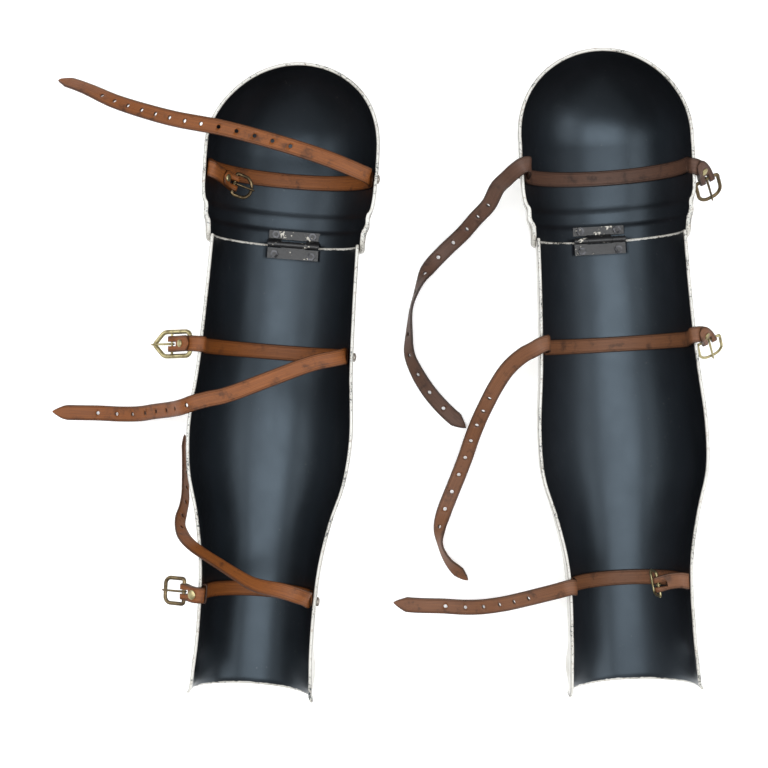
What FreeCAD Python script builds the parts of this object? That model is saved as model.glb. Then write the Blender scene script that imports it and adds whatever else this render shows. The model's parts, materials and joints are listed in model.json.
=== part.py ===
import FreeCAD, Part
import Sketcher
import math
import os
from FreeCAD import Placement, Rotation, Vector

# A pair of hinged leg guards lying on their fronts, hollow side up.
# Each guard is built round its own knee hinge: y = 0 at the hinge pin,
# +y towards the knee, z = 0 on the floor. GUARDS then places the two.

doc = FreeCAD.newDocument("leg_guards")
sheet = doc.addObject("Spreadsheet::Sheet", "dims")
sheet.Label = "dims"

SIZES = {
    # shells
    "wall": 3,
    "cup_rim": 88,
    # place of the pair on the floor
    "pair_x": 2.66, "pair_y": -7.1,
    # shin sections: place along the leg, width, height of the underside and of the rim
    "shin_ya": 0, "shin_wa": 140, "shin_za": 5.4, "shin_ra": 88,
    "shin_yb": -60, "shin_wb": 142.5, "shin_zb": 3, "shin_rb": 89,
    "shin_yc": -122, "shin_wc": 147, "shin_zc": 0.5, "shin_rc": 90,
    "shin_yd": -185, "shin_wd": 156, "shin_zd": 0, "shin_rd": 90,
    "shin_ye": -226, "shin_we": 149, "shin_ze": 0, "shin_re": 89,
    "shin_yf": -265, "shin_wf": 129, "shin_zf": 0, "shin_rf": 87,
    "shin_yg": -310, "shin_wg": 115, "shin_zg": 0, "shin_rg": 84,
    "shin_yh": -385, "shin_wh": 111.5, "shin_zh": 0.5, "shin_rh": 78.5,
    "shin_yi": -436, "shin_wi": 117, "shin_zi": 1.5, "shin_ri": 76,
    # widths of the other guard's shin, which is a little broader from the calf down
    "shin_va": 141, "shin_vb": 144, "shin_vc": 150, "shin_vd": 160, "shin_ve": 157,
    "shin_vf": 137, "shin_vg": 120.5, "shin_vh": 119.5, "shin_vi": 125,
    # cup sections, with two small steps below the bowl
    "cup_ya": -6, "cup_wa": 151, "cup_za": 1.5,
    "cup_yb": 12, "cup_wb": 152.5, "cup_zb": 0.6,
    "cup_yc": 16, "cup_wc": 156, "cup_zc": 0.3,
    "cup_yd": 28, "cup_wd": 157, "cup_zd": 0.3,
    "cup_ye": 32, "cup_we": 160.5, "cup_ze": 0.3,
    "cup_yf": 64, "cup_wf": 165, "cup_zf": 0.3,
    "left_cup_end": 84.5, "right_cup_end": 92.8,
    # knee hinge
    "pin_height": 19, "pin_radius": 1.5, "pin_gap": 0.05,
    "knuckle_radius": 3, "knuckle_gap": 0.3,
    "leaf_width": 50, "leaf_depth": 14, "leaf_thick": 1.5,
    "leaf_start": 3.6, "leaf_drop": 6, "leaf_slope": 2, "tongue_width": 24,
    "bolt_radius": 2, "bolt_reach": 18, "bolt_head_radius": 3.4, "bolt_head": 1.2,
    "bolt_hole": 2.1, "bolt_y": 10, "bolt_over": 0.9, "nut_radius": 4, "nut_height": 2.6,
    "cup_bolt_floor": 2.8, "shin_bolt_floor": 7,
    # straps
    "strap_width": 15, "strap_thick": 2.4, "belt_drop": 6,
    "rivet_radius": 1.5, "rivet_dome_radius": 4, "rivet_dome": 2.2, "chape_rivet_radius": 3.6,
    "chape_rivet_height": 1.2,
    "keeper_wall": 1.6, "keeper_depth": 7,
    # buckles
    "bar_radius": 1.2, "frame_wire": 1.3, "round_radius": 10.3, "round_reach": 9,
    "frame_width": 24, "frame_corner": 6, "loop_gap": 0.4, "slot_width": 4.4,
    "prong_radius": 0.9, "prong_eye": 2.15, "prong_eye_width": 2.6, "prong_gap": 0.05,
}


def fill_sheet():
    for row, (name, value) in enumerate(SIZES.items(), start=1):
        sheet.set("A%d" % row, name)
        sheet.set("B%d" % row, str(value))
        sheet.setAlias("B%d" % row, name)
    doc.recompute()


fill_sheet()


def size(name):
    return float(sheet.get(name))


def bind(obj, **formulas):
    """Tie properties to sheet formulas, such as Radius='dims.wall'."""
    for prop, formula in formulas.items():
        obj.setExpression(prop, formula)


def origin_plane(body, role):
    return [f for f in body.Origin.OriginFeatures if f.Role == role][0]


# ---------------------------------------------------------------- shells
def section_sketch(body, name, y_formula, width, base, rim):
    """One U-shaped ring section: two half circles with straight walls above."""
    sk = body.newObject("Sketcher::SketchObject", name)
    sk.AttachmentSupport = [(origin_plane(body, "XZ_Plane"), "")]
    sk.MapMode = "FlatFace"
    sk.setExpression("AttachmentOffset.Base.z", "-(%s)" % y_formula)
    outer = size(width) / 2
    wall = size("wall")
    inner = outer - wall
    middle = size(base) + outer
    top = size(rim)
    centre = Vector(0, middle, 0)
    up = Vector(0, 0, 1)
    line = Part.LineSegment
    shapes = [
        Part.ArcOfCircle(Part.Circle(centre, up, outer), math.pi, 2 * math.pi),
        line(Vector(outer, middle, 0), Vector(outer, top, 0)),
        line(Vector(outer, top, 0), Vector(inner, top, 0)),
        line(Vector(inner, top, 0), Vector(inner, middle, 0)),
        Part.ArcOfCircle(Part.Circle(centre, up, inner), math.pi, 2 * math.pi),
        line(Vector(-inner, middle, 0), Vector(-inner, top, 0)),
        line(Vector(-inner, top, 0), Vector(-outer, top, 0)),
        line(Vector(-outer, top, 0), Vector(-outer, middle, 0)),
    ]
    sk.addGeometry(shapes, False)
    con = Sketcher.Constraint
    sk.addConstraint([
        con("Coincident", 0, 2, 1, 1), con("Coincident", 1, 2, 2, 1),
        con("Coincident", 2, 2, 3, 1), con("Coincident", 3, 2, 4, 2),
        con("Coincident", 4, 1, 5, 1), con("Coincident", 5, 2, 6, 1),
        con("Coincident", 6, 2, 7, 1), con("Coincident", 7, 2, 0, 1),
        con("Coincident", 0, 3, 4, 3), con("PointOnObject", 0, 3, -2),
        con("Vertical", 1), con("Vertical", 3), con("Vertical", 5), con("Vertical", 7),
        con("Horizontal", 2), con("Horizontal", 6),
        con("Horizontal", 0, 1, 0, 3), con("Horizontal", 0, 2, 0, 3),
        con("Horizontal", 4, 1, 4, 3), con("Horizontal", 4, 2, 4, 3),
        con("Horizontal", 1, 2, 6, 2),
        con("Radius", 0, outer), con("Radius", 4, inner),
        con("DistanceY", -1, 1, 0, 3, middle), con("DistanceY", -1, 1, 1, 2, top),
    ])
    count = sk.ConstraintCount
    values = ["dims.%s / 2" % width, "dims.%s / 2 - dims.wall" % width,
              "dims.%s + dims.%s / 2" % (base, width), "dims.%s" % rim]
    for step, formula in enumerate(values):
        sk.setExpression("Constraints[%d]" % (count - 4 + step), formula)
    return sk


def shell_loft(body, name, sections, ruled):
    sketches = [section_sketch(body, "%s_%d" % (name, i), *row)
                for i, row in enumerate(sections)]
    doc.recompute()
    loft = body.newObject("PartDesign::AdditiveLoft", name + "_loft")
    loft.Profile = sketches[0]
    loft.Sections = sketches[1:]
    loft.Ruled = ruled
    doc.recompute()
    return loft


def drill_bolt_holes(body, name, y_formula):
    """Two round holes right through the floor of a shell, one each side of the middle."""
    sk = body.newObject("Sketcher::SketchObject", name + "_holes")
    sk.AttachmentSupport = [(origin_plane(body, "XY_Plane"), "")]
    sk.MapMode = "FlatFace"
    con = Sketcher.Constraint
    reach = size("bolt_reach")
    radius = size("bolt_hole")
    for index, side in enumerate((-1, 1)):
        sk.addGeometry(Part.Circle(Vector(side * reach, 1, 0), Vector(0, 0, 1), radius), False)
        first = sk.ConstraintCount
        sk.addConstraint([con("Radius", index, radius),
                          con("DistanceX", -1, 1, index, 3, side * reach),
                          con("DistanceY", -1, 1, index, 3, 1)])
        sk.setExpression("Constraints[%d]" % first, "dims.bolt_hole")
        sk.setExpression("Constraints[%d]" % (first + 1), "%d * dims.bolt_reach" % side)
        sk.setExpression("Constraints[%d]" % (first + 2), y_formula)
    pocket = body.newObject("PartDesign::Pocket", name + "_drill")
    pocket.Profile = sk
    pocket.Type = "Length"
    pocket.Midplane = True
    bind(pocket, Length="dims.pin_height * 3")
    doc.recompute()


def shin_shell(label, width):
    """The shin trough; width is the start of its width names in the sheet."""
    body = doc.addObject("PartDesign::Body", label)
    rows = [("dims.shin_y" + k, width + k, "shin_z" + k, "shin_r" + k) for k in "abcdefghi"]
    shell_loft(body, label, rows, False)
    drill_bolt_holes(body, label, "-dims.bolt_y")
    return body


def knee_cup(label, end):
    """The knee cup; end is the sheet name of the place where its round end starts."""
    body = doc.addObject("PartDesign::Body", label)
    rows = [("dims.cup_y" + k, "cup_w" + k, "cup_z" + k, "cup_rim") for k in "abcdef"]
    rows.append(("dims." + end, "cup_wf", "cup_zf", "cup_rim"))
    shell_loft(body, label, rows, True)
    end_bowl(body, label, end)
    drill_bolt_holes(body, label, "dims.bolt_y")
    return body


def end_bowl(body, name, end):
    """The round end: a quarter ring profile turned half round an upright axis."""
    sk = body.newObject("Sketcher::SketchObject", name + "_bowl")
    sk.AttachmentSupport = [(origin_plane(body, "XZ_Plane"), "")]
    sk.MapMode = "FlatFace"
    sk.setExpression("AttachmentOffset.Base.z", "-dims." + end)
    con = Sketcher.Constraint
    outer = size("cup_wf") / 2
    inner = outer - size("wall")
    middle = size("cup_zf") + outer
    top = size("cup_rim")
    centre = Vector(0, middle, 0)
    up = Vector(0, 0, 1)
    sk.addGeometry([
        Part.ArcOfCircle(Part.Circle(centre, up, outer), 1.5 * math.pi, 2 * math.pi),
        Part.LineSegment(Vector(outer, middle, 0), Vector(outer, top, 0)),
        Part.LineSegment(Vector(outer, top, 0), Vector(inner, top, 0)),
        Part.LineSegment(Vector(inner, top, 0), Vector(inner, middle, 0)),
        Part.ArcOfCircle(Part.Circle(centre, up, inner), 1.5 * math.pi, 2 * math.pi),
        Part.LineSegment(Vector(0, middle - inner, 0), Vector(0, middle - outer, 0)),
    ], False)
    sk.addConstraint([
        con("Coincident", 0, 2, 1, 1), con("Coincident", 1, 2, 2, 1),
        con("Coincident", 2, 2, 3, 1), con("Coincident", 3, 2, 4, 2),
        con("Coincident", 4, 1, 5, 1), con("Coincident", 5, 2, 0, 1),
        con("Coincident", 0, 3, 4, 3), con("PointOnObject", 0, 3, -2),
        con("Vertical", 1), con("Vertical", 3), con("Horizontal", 2),
        con("PointOnObject", 0, 1, -2), con("PointOnObject", 4, 1, -2),
        con("Horizontal", 0, 2, 0, 3), con("Horizontal", 4, 2, 4, 3),
        con("Radius", 0, outer), con("Radius", 4, inner),
        con("DistanceY", -1, 1, 0, 3, middle), con("DistanceY", -1, 1, 1, 2, top),
    ])
    count = sk.ConstraintCount
    values = ["dims.cup_wf / 2", "dims.cup_wf / 2 - dims.wall",
              "dims.cup_zf + dims.cup_wf / 2", "dims.cup_rim"]
    for step, formula in enumerate(values):
        sk.setExpression("Constraints[%d]" % (count - 4 + step), formula)
    doc.recompute()
    bowl = body.newObject("PartDesign::Revolution", name + "_bowl_turn")
    bowl.Profile = sk
    bowl.ReferenceAxis = (sk, ["V_Axis"])
    bowl.Angle = 180
    doc.recompute()
    if bowl.Shape.BoundBox.YMax < size(end) + inner:
        bowl.Reversed = True
        doc.recompute()


# ------------------------------------------------------------- primitives
def part(kind, **formulas):
    obj = doc.addObject("Part::" + kind, kind.lower())
    bind(obj, **formulas)
    return obj


def place(obj, x=0, y=0, z=0, axis=None, angle=0):
    turn = Rotation(axis, angle) if axis else Rotation()
    obj.Placement = Placement(Vector(x, y, z), turn)
    return obj


def cylinder_x(x0, length, radius, y=0, z=0):
    """A cylinder along +x; its sizes are sheet formulas, its start is in millimetres."""
    obj = part("Cylinder", Radius=radius, Height=length)
    return place(obj, x0, y, z, Vector(0, 1, 0), 90)


def fuse(label, pieces):
    obj = doc.addObject("Part::MultiFuse", label)
    obj.Shapes = pieces
    return obj


def cut(label, base, tools):
    obj = doc.addObject("Part::Cut", label)
    obj.Base = base
    obj.Tool = tools[0] if len(tools) == 1 else fuse(label + "_tools", tools)
    return obj


# ------------------------------------------------------------------ hinge
def hinge_leaf(label, toward, drop, outer_knuckles):
    """A flat leaf with its knuckles. toward is +1 for the cup leaf, -1 for the shin leaf."""
    half = size("leaf_width") / 2
    tongue = size("tongue_width") / 2
    pin_z = size("pin_height")
    thick = size("leaf_thick")
    low = size("leaf_drop") if drop else 0
    start = size("leaf_start") + (size("leaf_slope") if drop else 0)
    seat = pin_z - size("knuckle_radius")
    slope = "dims.leaf_slope" if drop else "0"
    plate = part("Box", Length="dims.leaf_width", Height="dims.leaf_thick",
                 Width="dims.leaf_depth - dims.leaf_start - %s" % slope)
    place(plate, -half, start if toward > 0 else -size("leaf_depth"), seat - low)
    pieces = [plate]
    gap = size("knuckle_gap")
    spans = [(-half, -tongue - gap / 2), (tongue + gap / 2, half)]
    if not outer_knuckles:
        spans = [(gap / 2 - tongue, tongue - gap / 2)]
    for left, right in spans:
        pieces.append(cylinder_x(left, "%g" % (right - left), "dims.knuckle_radius", 0, pin_z))
        pieces.append(leaf_web(left, right, toward * (start + 0.5), seat, thick, low))
    blank = fuse(label + "_blank", pieces)
    holes = [cylinder_x(-half - 1, "dims.leaf_width + 2", "dims.pin_radius + dims.pin_gap", 0, pin_z)]
    for side in (-1, 1):
        hole = part("Cylinder", Radius="dims.bolt_hole", Height="dims.leaf_thick * 3")
        holes.append(place(hole, side * size("bolt_reach"), toward * size("bolt_y"),
                           seat - low - thick))
    return cut(label, blank, holes)


def leaf_web(left, right, reach, seat, thick, low):
    """The strip between a knuckle and its leaf, sloped where the leaf steps down."""
    points = [(0, seat), (0, seat + thick), (reach, seat + thick - low), (reach, seat - low)]
    wire = Part.makePolygon([Vector(left, y, z) for y, z in points + points[:1]])
    web = doc.addObject("Part::Feature", "web")
    web.Shape = Part.Face(wire).extrude(Vector(right - left, 0, 0))
    return web


def hinge_pin(label):
    pin = cylinder_x(-size("leaf_width") / 2, "dims.leaf_width", "dims.pin_radius",
                     0, size("pin_height"))
    wrap = doc.addObject("Part::Compound", label)
    wrap.Links = [pin]
    return wrap


def bolt_pair(label, y, floor, top):
    """Two bolts: a low head under the shell floor and a shank up through the leaf."""
    pieces = []
    for side in (-1, 1):
        x = side * size("bolt_reach")
        shank = part("Cylinder", Radius="dims.bolt_radius", Height="%g" % (top - floor))
        pieces.append(place(shank, x, y, floor))
        head = part("Cone", Radius1="dims.bolt_head_radius * 0.7",
                    Radius2="dims.bolt_head_radius", Height="dims.bolt_head")
        pieces.append(place(head, x, y, floor - size("bolt_head")))
    return fuse(label, pieces)


def nut_pair(label, y, z):
    nuts = []
    holes = []
    for side in (-1, 1):
        nut = part("Prism", Circumradius="dims.nut_radius", Height="dims.nut_height")
        nut.Polygon = 6
        nuts.append(place(nut, side * size("bolt_reach"), y, z))
        hole = part("Cylinder", Radius="dims.bolt_radius", Height="dims.nut_height + 2")
        holes.append(place(hole, side * size("bolt_reach"), y, z - 1))
    return cut(label, fuse(label + "_blank", nuts), holes)


# ----------------------------------------------------------------- straps
def strap_solid(points, width, thick):
    """A flat strap through points (x, y, z, roll): a run of straight four-sided pieces.

    roll turns the strap about its own run, in degrees from lying flat.
    """
    centres = [Vector(*p[:3]) for p in points]
    rings = []
    across = Vector(0, 1, 0)
    for i, p in enumerate(points):
        ahead = centres[min(i + 1, len(points) - 1)]
        behind = centres[max(i - 1, 0)]
        run = (ahead - behind).normalize()
        if len(p) > 4:
            across = Vector(*p[4])
        else:
            flat = Vector(0, 0, 1).cross(run)
            across = flat if flat.Length > 0.35 else across
        across = (across - run * across.dot(run)).normalize()
        side = Rotation(run, p[3]).multVec(across)
        normal = run.cross(side)
        half_w = side * (width / 2)
        half_t = normal * (thick / 2)
        c = centres[i]
        corners = [c + half_w + half_t, c - half_w + half_t, c - half_w - half_t, c + half_w - half_t]
        rings.append(Part.makePolygon(corners + corners[:1]))
    solid = Part.makeLoft(rings, True, True)
    if solid.Volume < 0:
        solid.reverse()
    return solid


def frame_place(at, tip, bar):
    """Buckle axes: x towards the tip of the frame, y along the bar."""
    x = Vector(*tip).normalize()
    y = Vector(*bar)
    y = (y - x * y.dot(x)).normalize()
    return Placement(Vector(*at), Rotation(x, y, x.cross(y), "XYZ"))


def bar_cylinder(spot, radius, length):
    """A cylinder along the buckle bar, centred on it."""
    shape = Part.makeCylinder(radius, length, Vector(0, -length / 2, 0), Vector(0, 1, 0))
    shape.Placement = spot
    return shape


def band_solid(label, path, spot):
    """The buckle strap: the run of strap, its eye round the bar and the slot for the prong."""
    width = size("strap_width")
    thick = size("strap_thick")
    loop = size("bar_radius") + size("loop_gap")
    run = strap_solid(path, width, thick)
    eye = bar_cylinder(spot, loop + thick * 0.8, width - 2)
    bore = bar_cylinder(spot, loop, width + 12)
    slot = Part.makeBox(16, size("slot_width"), 16, Vector(-5.4, -size("slot_width") / 2, -8))
    slot.Placement = spot
    shape = run.fuse(eye).cut(bore).cut(slot)
    solids = sorted(shape.Solids, key=lambda s: s.Volume)
    obj = doc.addObject("Part::Feature", label)
    obj.Shape = solids[-1]
    return obj


def tail_solid(label, path):
    obj = doc.addObject("Part::Feature", label)
    obj.Shape = strap_solid(path, size("strap_width"), size("strap_thick"))
    return obj


def keeper(label):
    """A leather loop round a strap; x runs along the strap."""
    gap = 0.6
    around = "dims.strap_%s + " + "%g + 2 * dims.keeper_wall" % gap
    outer = part("Box", Length="dims.keeper_depth", Width=around % "width", Height=around % "thick")
    place(outer, -size("keeper_depth") / 2, -size("strap_width") / 2 - gap / 2 - size("keeper_wall"),
          -size("strap_thick") / 2 - gap / 2 - size("keeper_wall"))
    hole = part("Box", Length="dims.keeper_depth + 2", Width="dims.strap_width + %g" % gap,
                Height="dims.strap_thick + %g" % gap)
    place(hole, -size("keeper_depth") / 2 - 1, -size("strap_width") / 2 - gap / 2,
          -size("strap_thick") / 2 - gap / 2)
    return cut(label, outer, [hole])


# ---------------------------------------------------------------- buckles
def round_frame(label):
    """A D-shaped frame: half a ring, two straight sides and the bar."""
    radius = size("round_radius")
    reach = size("round_reach")
    ring = part("Torus", Radius1="dims.round_radius", Radius2="dims.frame_wire")
    ring.Angle3 = 180
    place(ring, reach, 0, 0, Vector(0, 0, 1), -90)
    pieces = [ring]
    for side in (-1, 1):
        arm = part("Cylinder", Radius="dims.frame_wire", Height="dims.round_reach")
        pieces.append(place(arm, 0, side * radius, 0, Vector(0, 1, 0), 90))
    bar = part("Cylinder", Radius="dims.bar_radius", Height="dims.round_radius * 2")
    pieces.append(place(bar, 0, radius, 0, Vector(1, 0, 0), 90))
    return fuse(label, pieces)


def frame_blank(label, start, length, grow, high):
    """A flat block with round corners, grown or shrunk by half the wire on every side."""
    wire = size("frame_wire")
    edge = 2 * grow * wire
    corner = "dims.frame_corner + %g * dims.frame_wire" % grow
    corner_mm = size("frame_corner") + grow * wire
    width_mm = size("frame_width") + edge
    x0 = start - grow * wire
    z0 = -high * wire / 2
    tall = "dims.frame_wire * %g" % high
    long_box = part("Box", Length="%g + %g * dims.frame_wire" % (length, 2 * grow), Height=tall,
                    Width="dims.frame_width + %g * dims.frame_wire - 2 * (%s)" % (2 * grow, corner))
    wide_box = part("Box", Width="dims.frame_width + %g * dims.frame_wire" % (2 * grow), Height=tall,
                    Length="%g + %g * dims.frame_wire - 2 * (%s)" % (length, 2 * grow, corner))
    pieces = [place(long_box, x0, corner_mm - width_mm / 2, z0),
              place(wide_box, x0 + corner_mm, -width_mm / 2, z0)]
    for x in (x0 + corner_mm, x0 + length + edge - corner_mm):
        for y in (corner_mm - width_mm / 2, width_mm / 2 - corner_mm):
            pieces.append(place(part("Cylinder", Radius=corner, Height=tall), x, y, z0))
    return fuse(label, pieces)


def square_frame(label, start, length):
    """A flat frame with round corners. Its bar is at x = 0; start is 0 when that is its end."""
    wire = size("frame_wire")
    ring = cut(label + "_ring", frame_blank(label + "_outer", start, length, 1, 2),
               [frame_blank(label + "_inner", start, length, -1, 4)])
    if start == 0:
        clear = part("Box", Length="dims.frame_wire * 4", Height="dims.frame_wire * 6",
                     Width="dims.strap_width + 1")
        place(clear, -2 * wire, -(size("strap_width") + 1) / 2, -3 * wire)
        ring = cut(label + "_open", ring, [clear])
    bar = part("Cylinder", Radius="dims.bar_radius", Height="dims.frame_width")
    place(bar, 0, size("frame_width") / 2, 0, Vector(1, 0, 0), 90)
    return fuse(label, [ring, bar])


def prong(label, length):
    """The tongue of a buckle: an eye on the bar and a pin that rests on the frame."""
    eye_len = size("prong_eye_width")
    eye = part("Cylinder", Radius="dims.prong_eye", Height="dims.prong_eye_width")
    place(eye, 0, eye_len / 2, 0, Vector(1, 0, 0), 90)
    rise = size("frame_wire") + size("prong_radius") + 0.3
    slope = math.degrees(math.asin((rise - 1.0) / length))
    pin = part("Cylinder", Radius="dims.prong_radius", Height="%g" % length)
    place(pin, 1.0, 0, 1.0, Vector(0, 1, 0), 90 - slope)
    bore = part("Cylinder", Radius="dims.bar_radius + dims.prong_gap",
                Height="dims.prong_eye_width + 2")
    place(bore, 0, eye_len / 2 + 1, 0, Vector(1, 0, 0), 90)
    return cut(label, fuse(label + "_blank", [eye, pin]), [bore])


def wall_rivets(label, spots):
    """Dome rivets through a side wall. Each spot is (side, y, z, outer face, inner end)."""
    pieces = []
    for side, y, z, outer, inner in spots:
        shank = part("Cylinder", Radius="dims.rivet_radius", Height="%g" % (outer - inner))
        place(shank, side * inner, y, z, Vector(0, 1, 0), 90 * side)
        dome = part("Cone", Radius1="dims.rivet_dome_radius", Height="dims.rivet_dome",
                    Radius2="dims.rivet_dome_radius * 0.5")
        place(dome, side * outer, y, z, Vector(0, 1, 0), 90 * side)
        pieces += [shank, dome]
    return fuse(label, pieces)


def strap_rivets(label, spots):
    """Round rivets standing on a strap, at placements whose z leaves the leather."""
    discs = []
    for spot in spots:
        disc = Part.makeCone(size("chape_rivet_radius"), size("chape_rivet_radius") * 0.7,
                             size("chape_rivet_height"))
        disc.Placement = spot
        discs.append(disc)
    obj = doc.addObject("Part::Feature", label)
    obj.Shape = Part.makeCompound(discs)
    return obj


# ----------------------------------------------------------------- guards
ALONG = (0, 1, 0)
BACK = (0, -1, 0)


def wall_start(radius, y, low, high, side):
    """The first stretch of a tail, flat against the inside of a side wall."""
    return [(side * radius, y, low, 0, BACK), (side * radius, y, high, 0, BACK)]


def belt(radius, middle, y, side):
    """A buckle strap round the trough, from its rivet on the other wall to its buckle side."""
    steps = 12
    start = math.asin(size("belt_drop") / radius)
    path = []
    for i in range(steps + 1):
        angle = start + (math.pi - 2 * start) * i / steps
        path.append((radius * math.cos(angle), y, middle - radius * math.sin(angle), 0, ALONG))
    return path if side < 0 else path[::-1]


# Band radius, height of the trough's axis and place along the leg, for each strap.
LINES = {
    "left_knee": (77.8, 82.8, 64), "left_calf": (67.3, 73.8, -106), "left_ankle": (51.6, 56.6, -341),
    "right_knee": (77.8, 82.8, 62), "right_calf": (68.2, 74.7, -103), "right_ankle": (54.4, 59.4, -334),
}

# From the top of the belt to the buckle, points with the direction across the strap.
ENDS = {
    "left_knee": [(-77.3, 62, 80, 0, ALONG), (-76.4, 61, 84.5, 0, ALONG), (-73.5, 60, 86.5, 0, ALONG),
                  (-70, 58.5, 84, 0, ALONG), (-63, 55, 73, 0, ALONG)],
    "left_calf": [(-67.3, -106, 82, 0, ALONG), (-67, -105.5, 88.4, 0, ALONG),
                  (-68.3, -105, 92.2, 0, ALONG), (-72, -105, 93.6, 0, ALONG),
                  (-76, -105, 92.8, 0, ALONG), (-79.5, -105, 90, 0, ALONG),
                  (-83.4, -105.2, 86.4, 0, ALONG), (-87.3, -105.6, 82.9, 0, ALONG),
                  (-93, -106.3, 76.7, 0, ALONG)],
    "left_ankle": [(-51.6, -341, 70, 0, ALONG), (-51.4, -341, 80, 0, ALONG),
                   (-52.4, -341, 83.6, 0, ALONG), (-55.5, -341, 84.8, 0, ALONG),
                   (-59, -341, 83.2, 0, ALONG), (-64, -340.5, 78, 0, ALONG)],
    "right_knee": [(77.4, 61, 80, 0, ALONG), (77.1, 60, 86, 0, ALONG), (77.8, 59, 90, 0, ALONG),
                   (80.5, 58, 92, 0, ALONG), (84.5, 56.5, 90.5, 0, (0.3, 1, 0)),
                   (89, 54, 84, 0, (0.8, 0.8, 0))],
    "right_calf": [(68.2, -102, 82, 0, ALONG), (67.9, -101, 88.4, 0, ALONG),
                   (69.2, -100, 92.4, 0, ALONG), (73.3, -99.5, 94, 0, ALONG),
                   (78, -99.5, 91.8, 0, (0.3, 1, 0)), (82.5, -101, 84.5, 0, (0.8, 0.8, 0))],
    "right_ankle": [(54.4, -333, 70, 0, ALONG), (54.2, -332, 79, 0, ALONG), (52.2, -331, 82.6, 0, ALONG),
                    (48, -330, 83, 0, ALONG), (36.5, -331, 78.6, 0, ALONG)],
}

# Each buckle: the middle of its bar, the way to its tip, the way along its bar, its frame.
BUCKLES = {
    "left_knee": ((-54, 51, 62), (19, -5, -13), (0, 1, 0), None),
    "left_calf": ((-100, -107, 73), (-20, -2, -11), (0, -1, 0), (-21, 40)),
    "left_ankle": ((-70, -340, 75), (-20, -1, -10), (0, -1, 0), (0, 21)),
    "right_knee": ((94, 47, 76), (9, -20, -22), (18, 8, 0), (0, 24)),
    "right_calf": ((87, -105, 77), (7, -17, -21), (17, 7, 0), (0, 24)),
    "right_ankle": ((27, -334, 73), (-2, 0, -20), (-0.14, 1, 0), (0, 22)),
}

# The loose ends, from the rivet to the tip, with the turn about the strap's own run.
TAILS = {
    "left_knee": wall_start(74.2, 64, 72.5, 82, 1) + [
        (73, 65, 90, 0), (66, 67, 94.5, 0), (51, 72, 96, 0), (31, 78, 96, 0), (-2, 86, 96, 0),
        (-41, 94, 95, 0), (-70, 99, 93, 0), (-86, 101, 90, 0), (-111, 105, 80, 0), (-143, 113, 62, 8),
        (-179, 124, 42, 20), (-210, 137, 23, 35), (-231, 144, 11, 40), (-242, 146, 7, 40)],
    "left_calf": wall_start(64.5, -105, 68, 80, 1) + [
        (63, -106.5, 90, 0), (55, -109, 95.5, 0), (38, -114, 97, 0), (-4, -133, 96, 0),
        (-46, -152, 94, 0), (-60, -156, 94, 0), (-74, -161, 95, 0), (-83, -165, 90, 0),
        (-97, -169, 67, 0), (-116, -173, 42, 0), (-134, -177, 22, 0), (-153, -179, 9, 0),
        (-178, -180, 3, 0), (-212, -182, 1.6, 0), (-223, -182, 1.6, 0)],
    "left_ankle": wall_start(48.8, -339, 62, 76, 1) + [
        (46.5, -336, 88, 0), (39, -333, 94.5, 0), (27, -330, 96, 0), (-4, -325, 95, 0),
        (-21, -317, 93, 0), (-36, -309, 91, 0), (-51, -301, 90.5, 0), (-62, -295, 89.5, 6),
        (-71.5, -289, 78.5, 20), (-77, -283, 67, 40), (-80.5, -275, 57, 55), (-80, -265, 47, 65),
        (-80, -254, 38, 70), (-82, -241, 29, 75), (-84, -228, 21, 75), (-86, -214, 14.5, 75),
        (-89, -194, 9, 75)],
    "right_knee": wall_start(74.2, 64, 72.5, 84, -1) + [
        (-73.6, 66, 93, 0), (-75.5, 68, 99.5, 0), (-81, 67, 101.5, 0), (-88, 63, 97.5, 0),
        (-96, 57, 87, 0), (-103.4, 51.3, 72, 0), (-111.6, 37.4, 51, 0), (-123.7, 26.5, 31, 0),
        (-135.8, 14.7, 15, 0), (-156, -2.1, 6, 0), (-171.2, -16.9, 6, 20),
        (-179.4, -28.8, 8.5, 60), (-185.5, -41.7, 9, 80), (-190.7, -55.7, 9, 85),
        (-194, -78.6, 8.5, 70), (-195.2, -100.6, 7.5, 50), (-189.5, -117.7, 6.5, 35),
        (-178.7, -137.8, 5, 20), (-164.9, -156, 3.6, 10), (-152.1, -169.2, 2.2, 0),
        (-143.2, -177.3, 1.8, 0)],
    "right_calf": wall_start(65.4, -101, 68, 82, -1) + [
        (-65.1, -100, 92, 0), (-67.2, -99.5, 98.5, 0), (-73.2, -101, 101, 0), (-81, -105, 98.5, 0),
        (-89.3, -108.9, 92, 0), (-103.5, -120.7, 76, 0), (-115.7, -138.6, 56, 0),
        (-123.9, -154.5, 38, 0), (-131.1, -169.4, 25, 0), (-138.3, -186.3, 15, 0),
        (-145.5, -205.2, 8.5, 0), (-153.7, -224.1, 4.5, 0), (-162, -242, 2.4, 0),
        (-170.2, -259.9, 3.8, 15), (-175.4, -275.9, 7, 45), (-175.6, -290.9, 9, 75),
        (-169.8, -305.9, 9, 65), (-161.9, -316, 7.5, 45), (-150, -328.2, 6, 30)],
    "right_ankle": wall_start(51.6, -332, 62, 76, -1) + [
        (-53, -331, 84, 0), (-56.8, -330, 87.2, 0), (-62.3, -331, 87.2, 0), (-70, -333.5, 82, 0),
        (-83.1, -338, 69, 0), (-102.2, -344.8, 48, 0), (-120.3, -350.6, 28, 0),
        (-140.3, -354.3, 12, 0), (-156.3, -354.6, 5, 0), (-174.3, -352.9, 2, 0),
        (-210.3, -349.5, 1.6, 0), (-225.2, -346.3, 1.6, 0)],
}

# Rivets on the doubled end of each buckle strap: how far they sit behind the bar.
CHAPE_RIVET = 12.0
# The one strap with a keeper loop, and how far the loop sits behind the bar.
KEEPER_ON = "left_ankle"
KEEPER_BACK = 33.0
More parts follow.
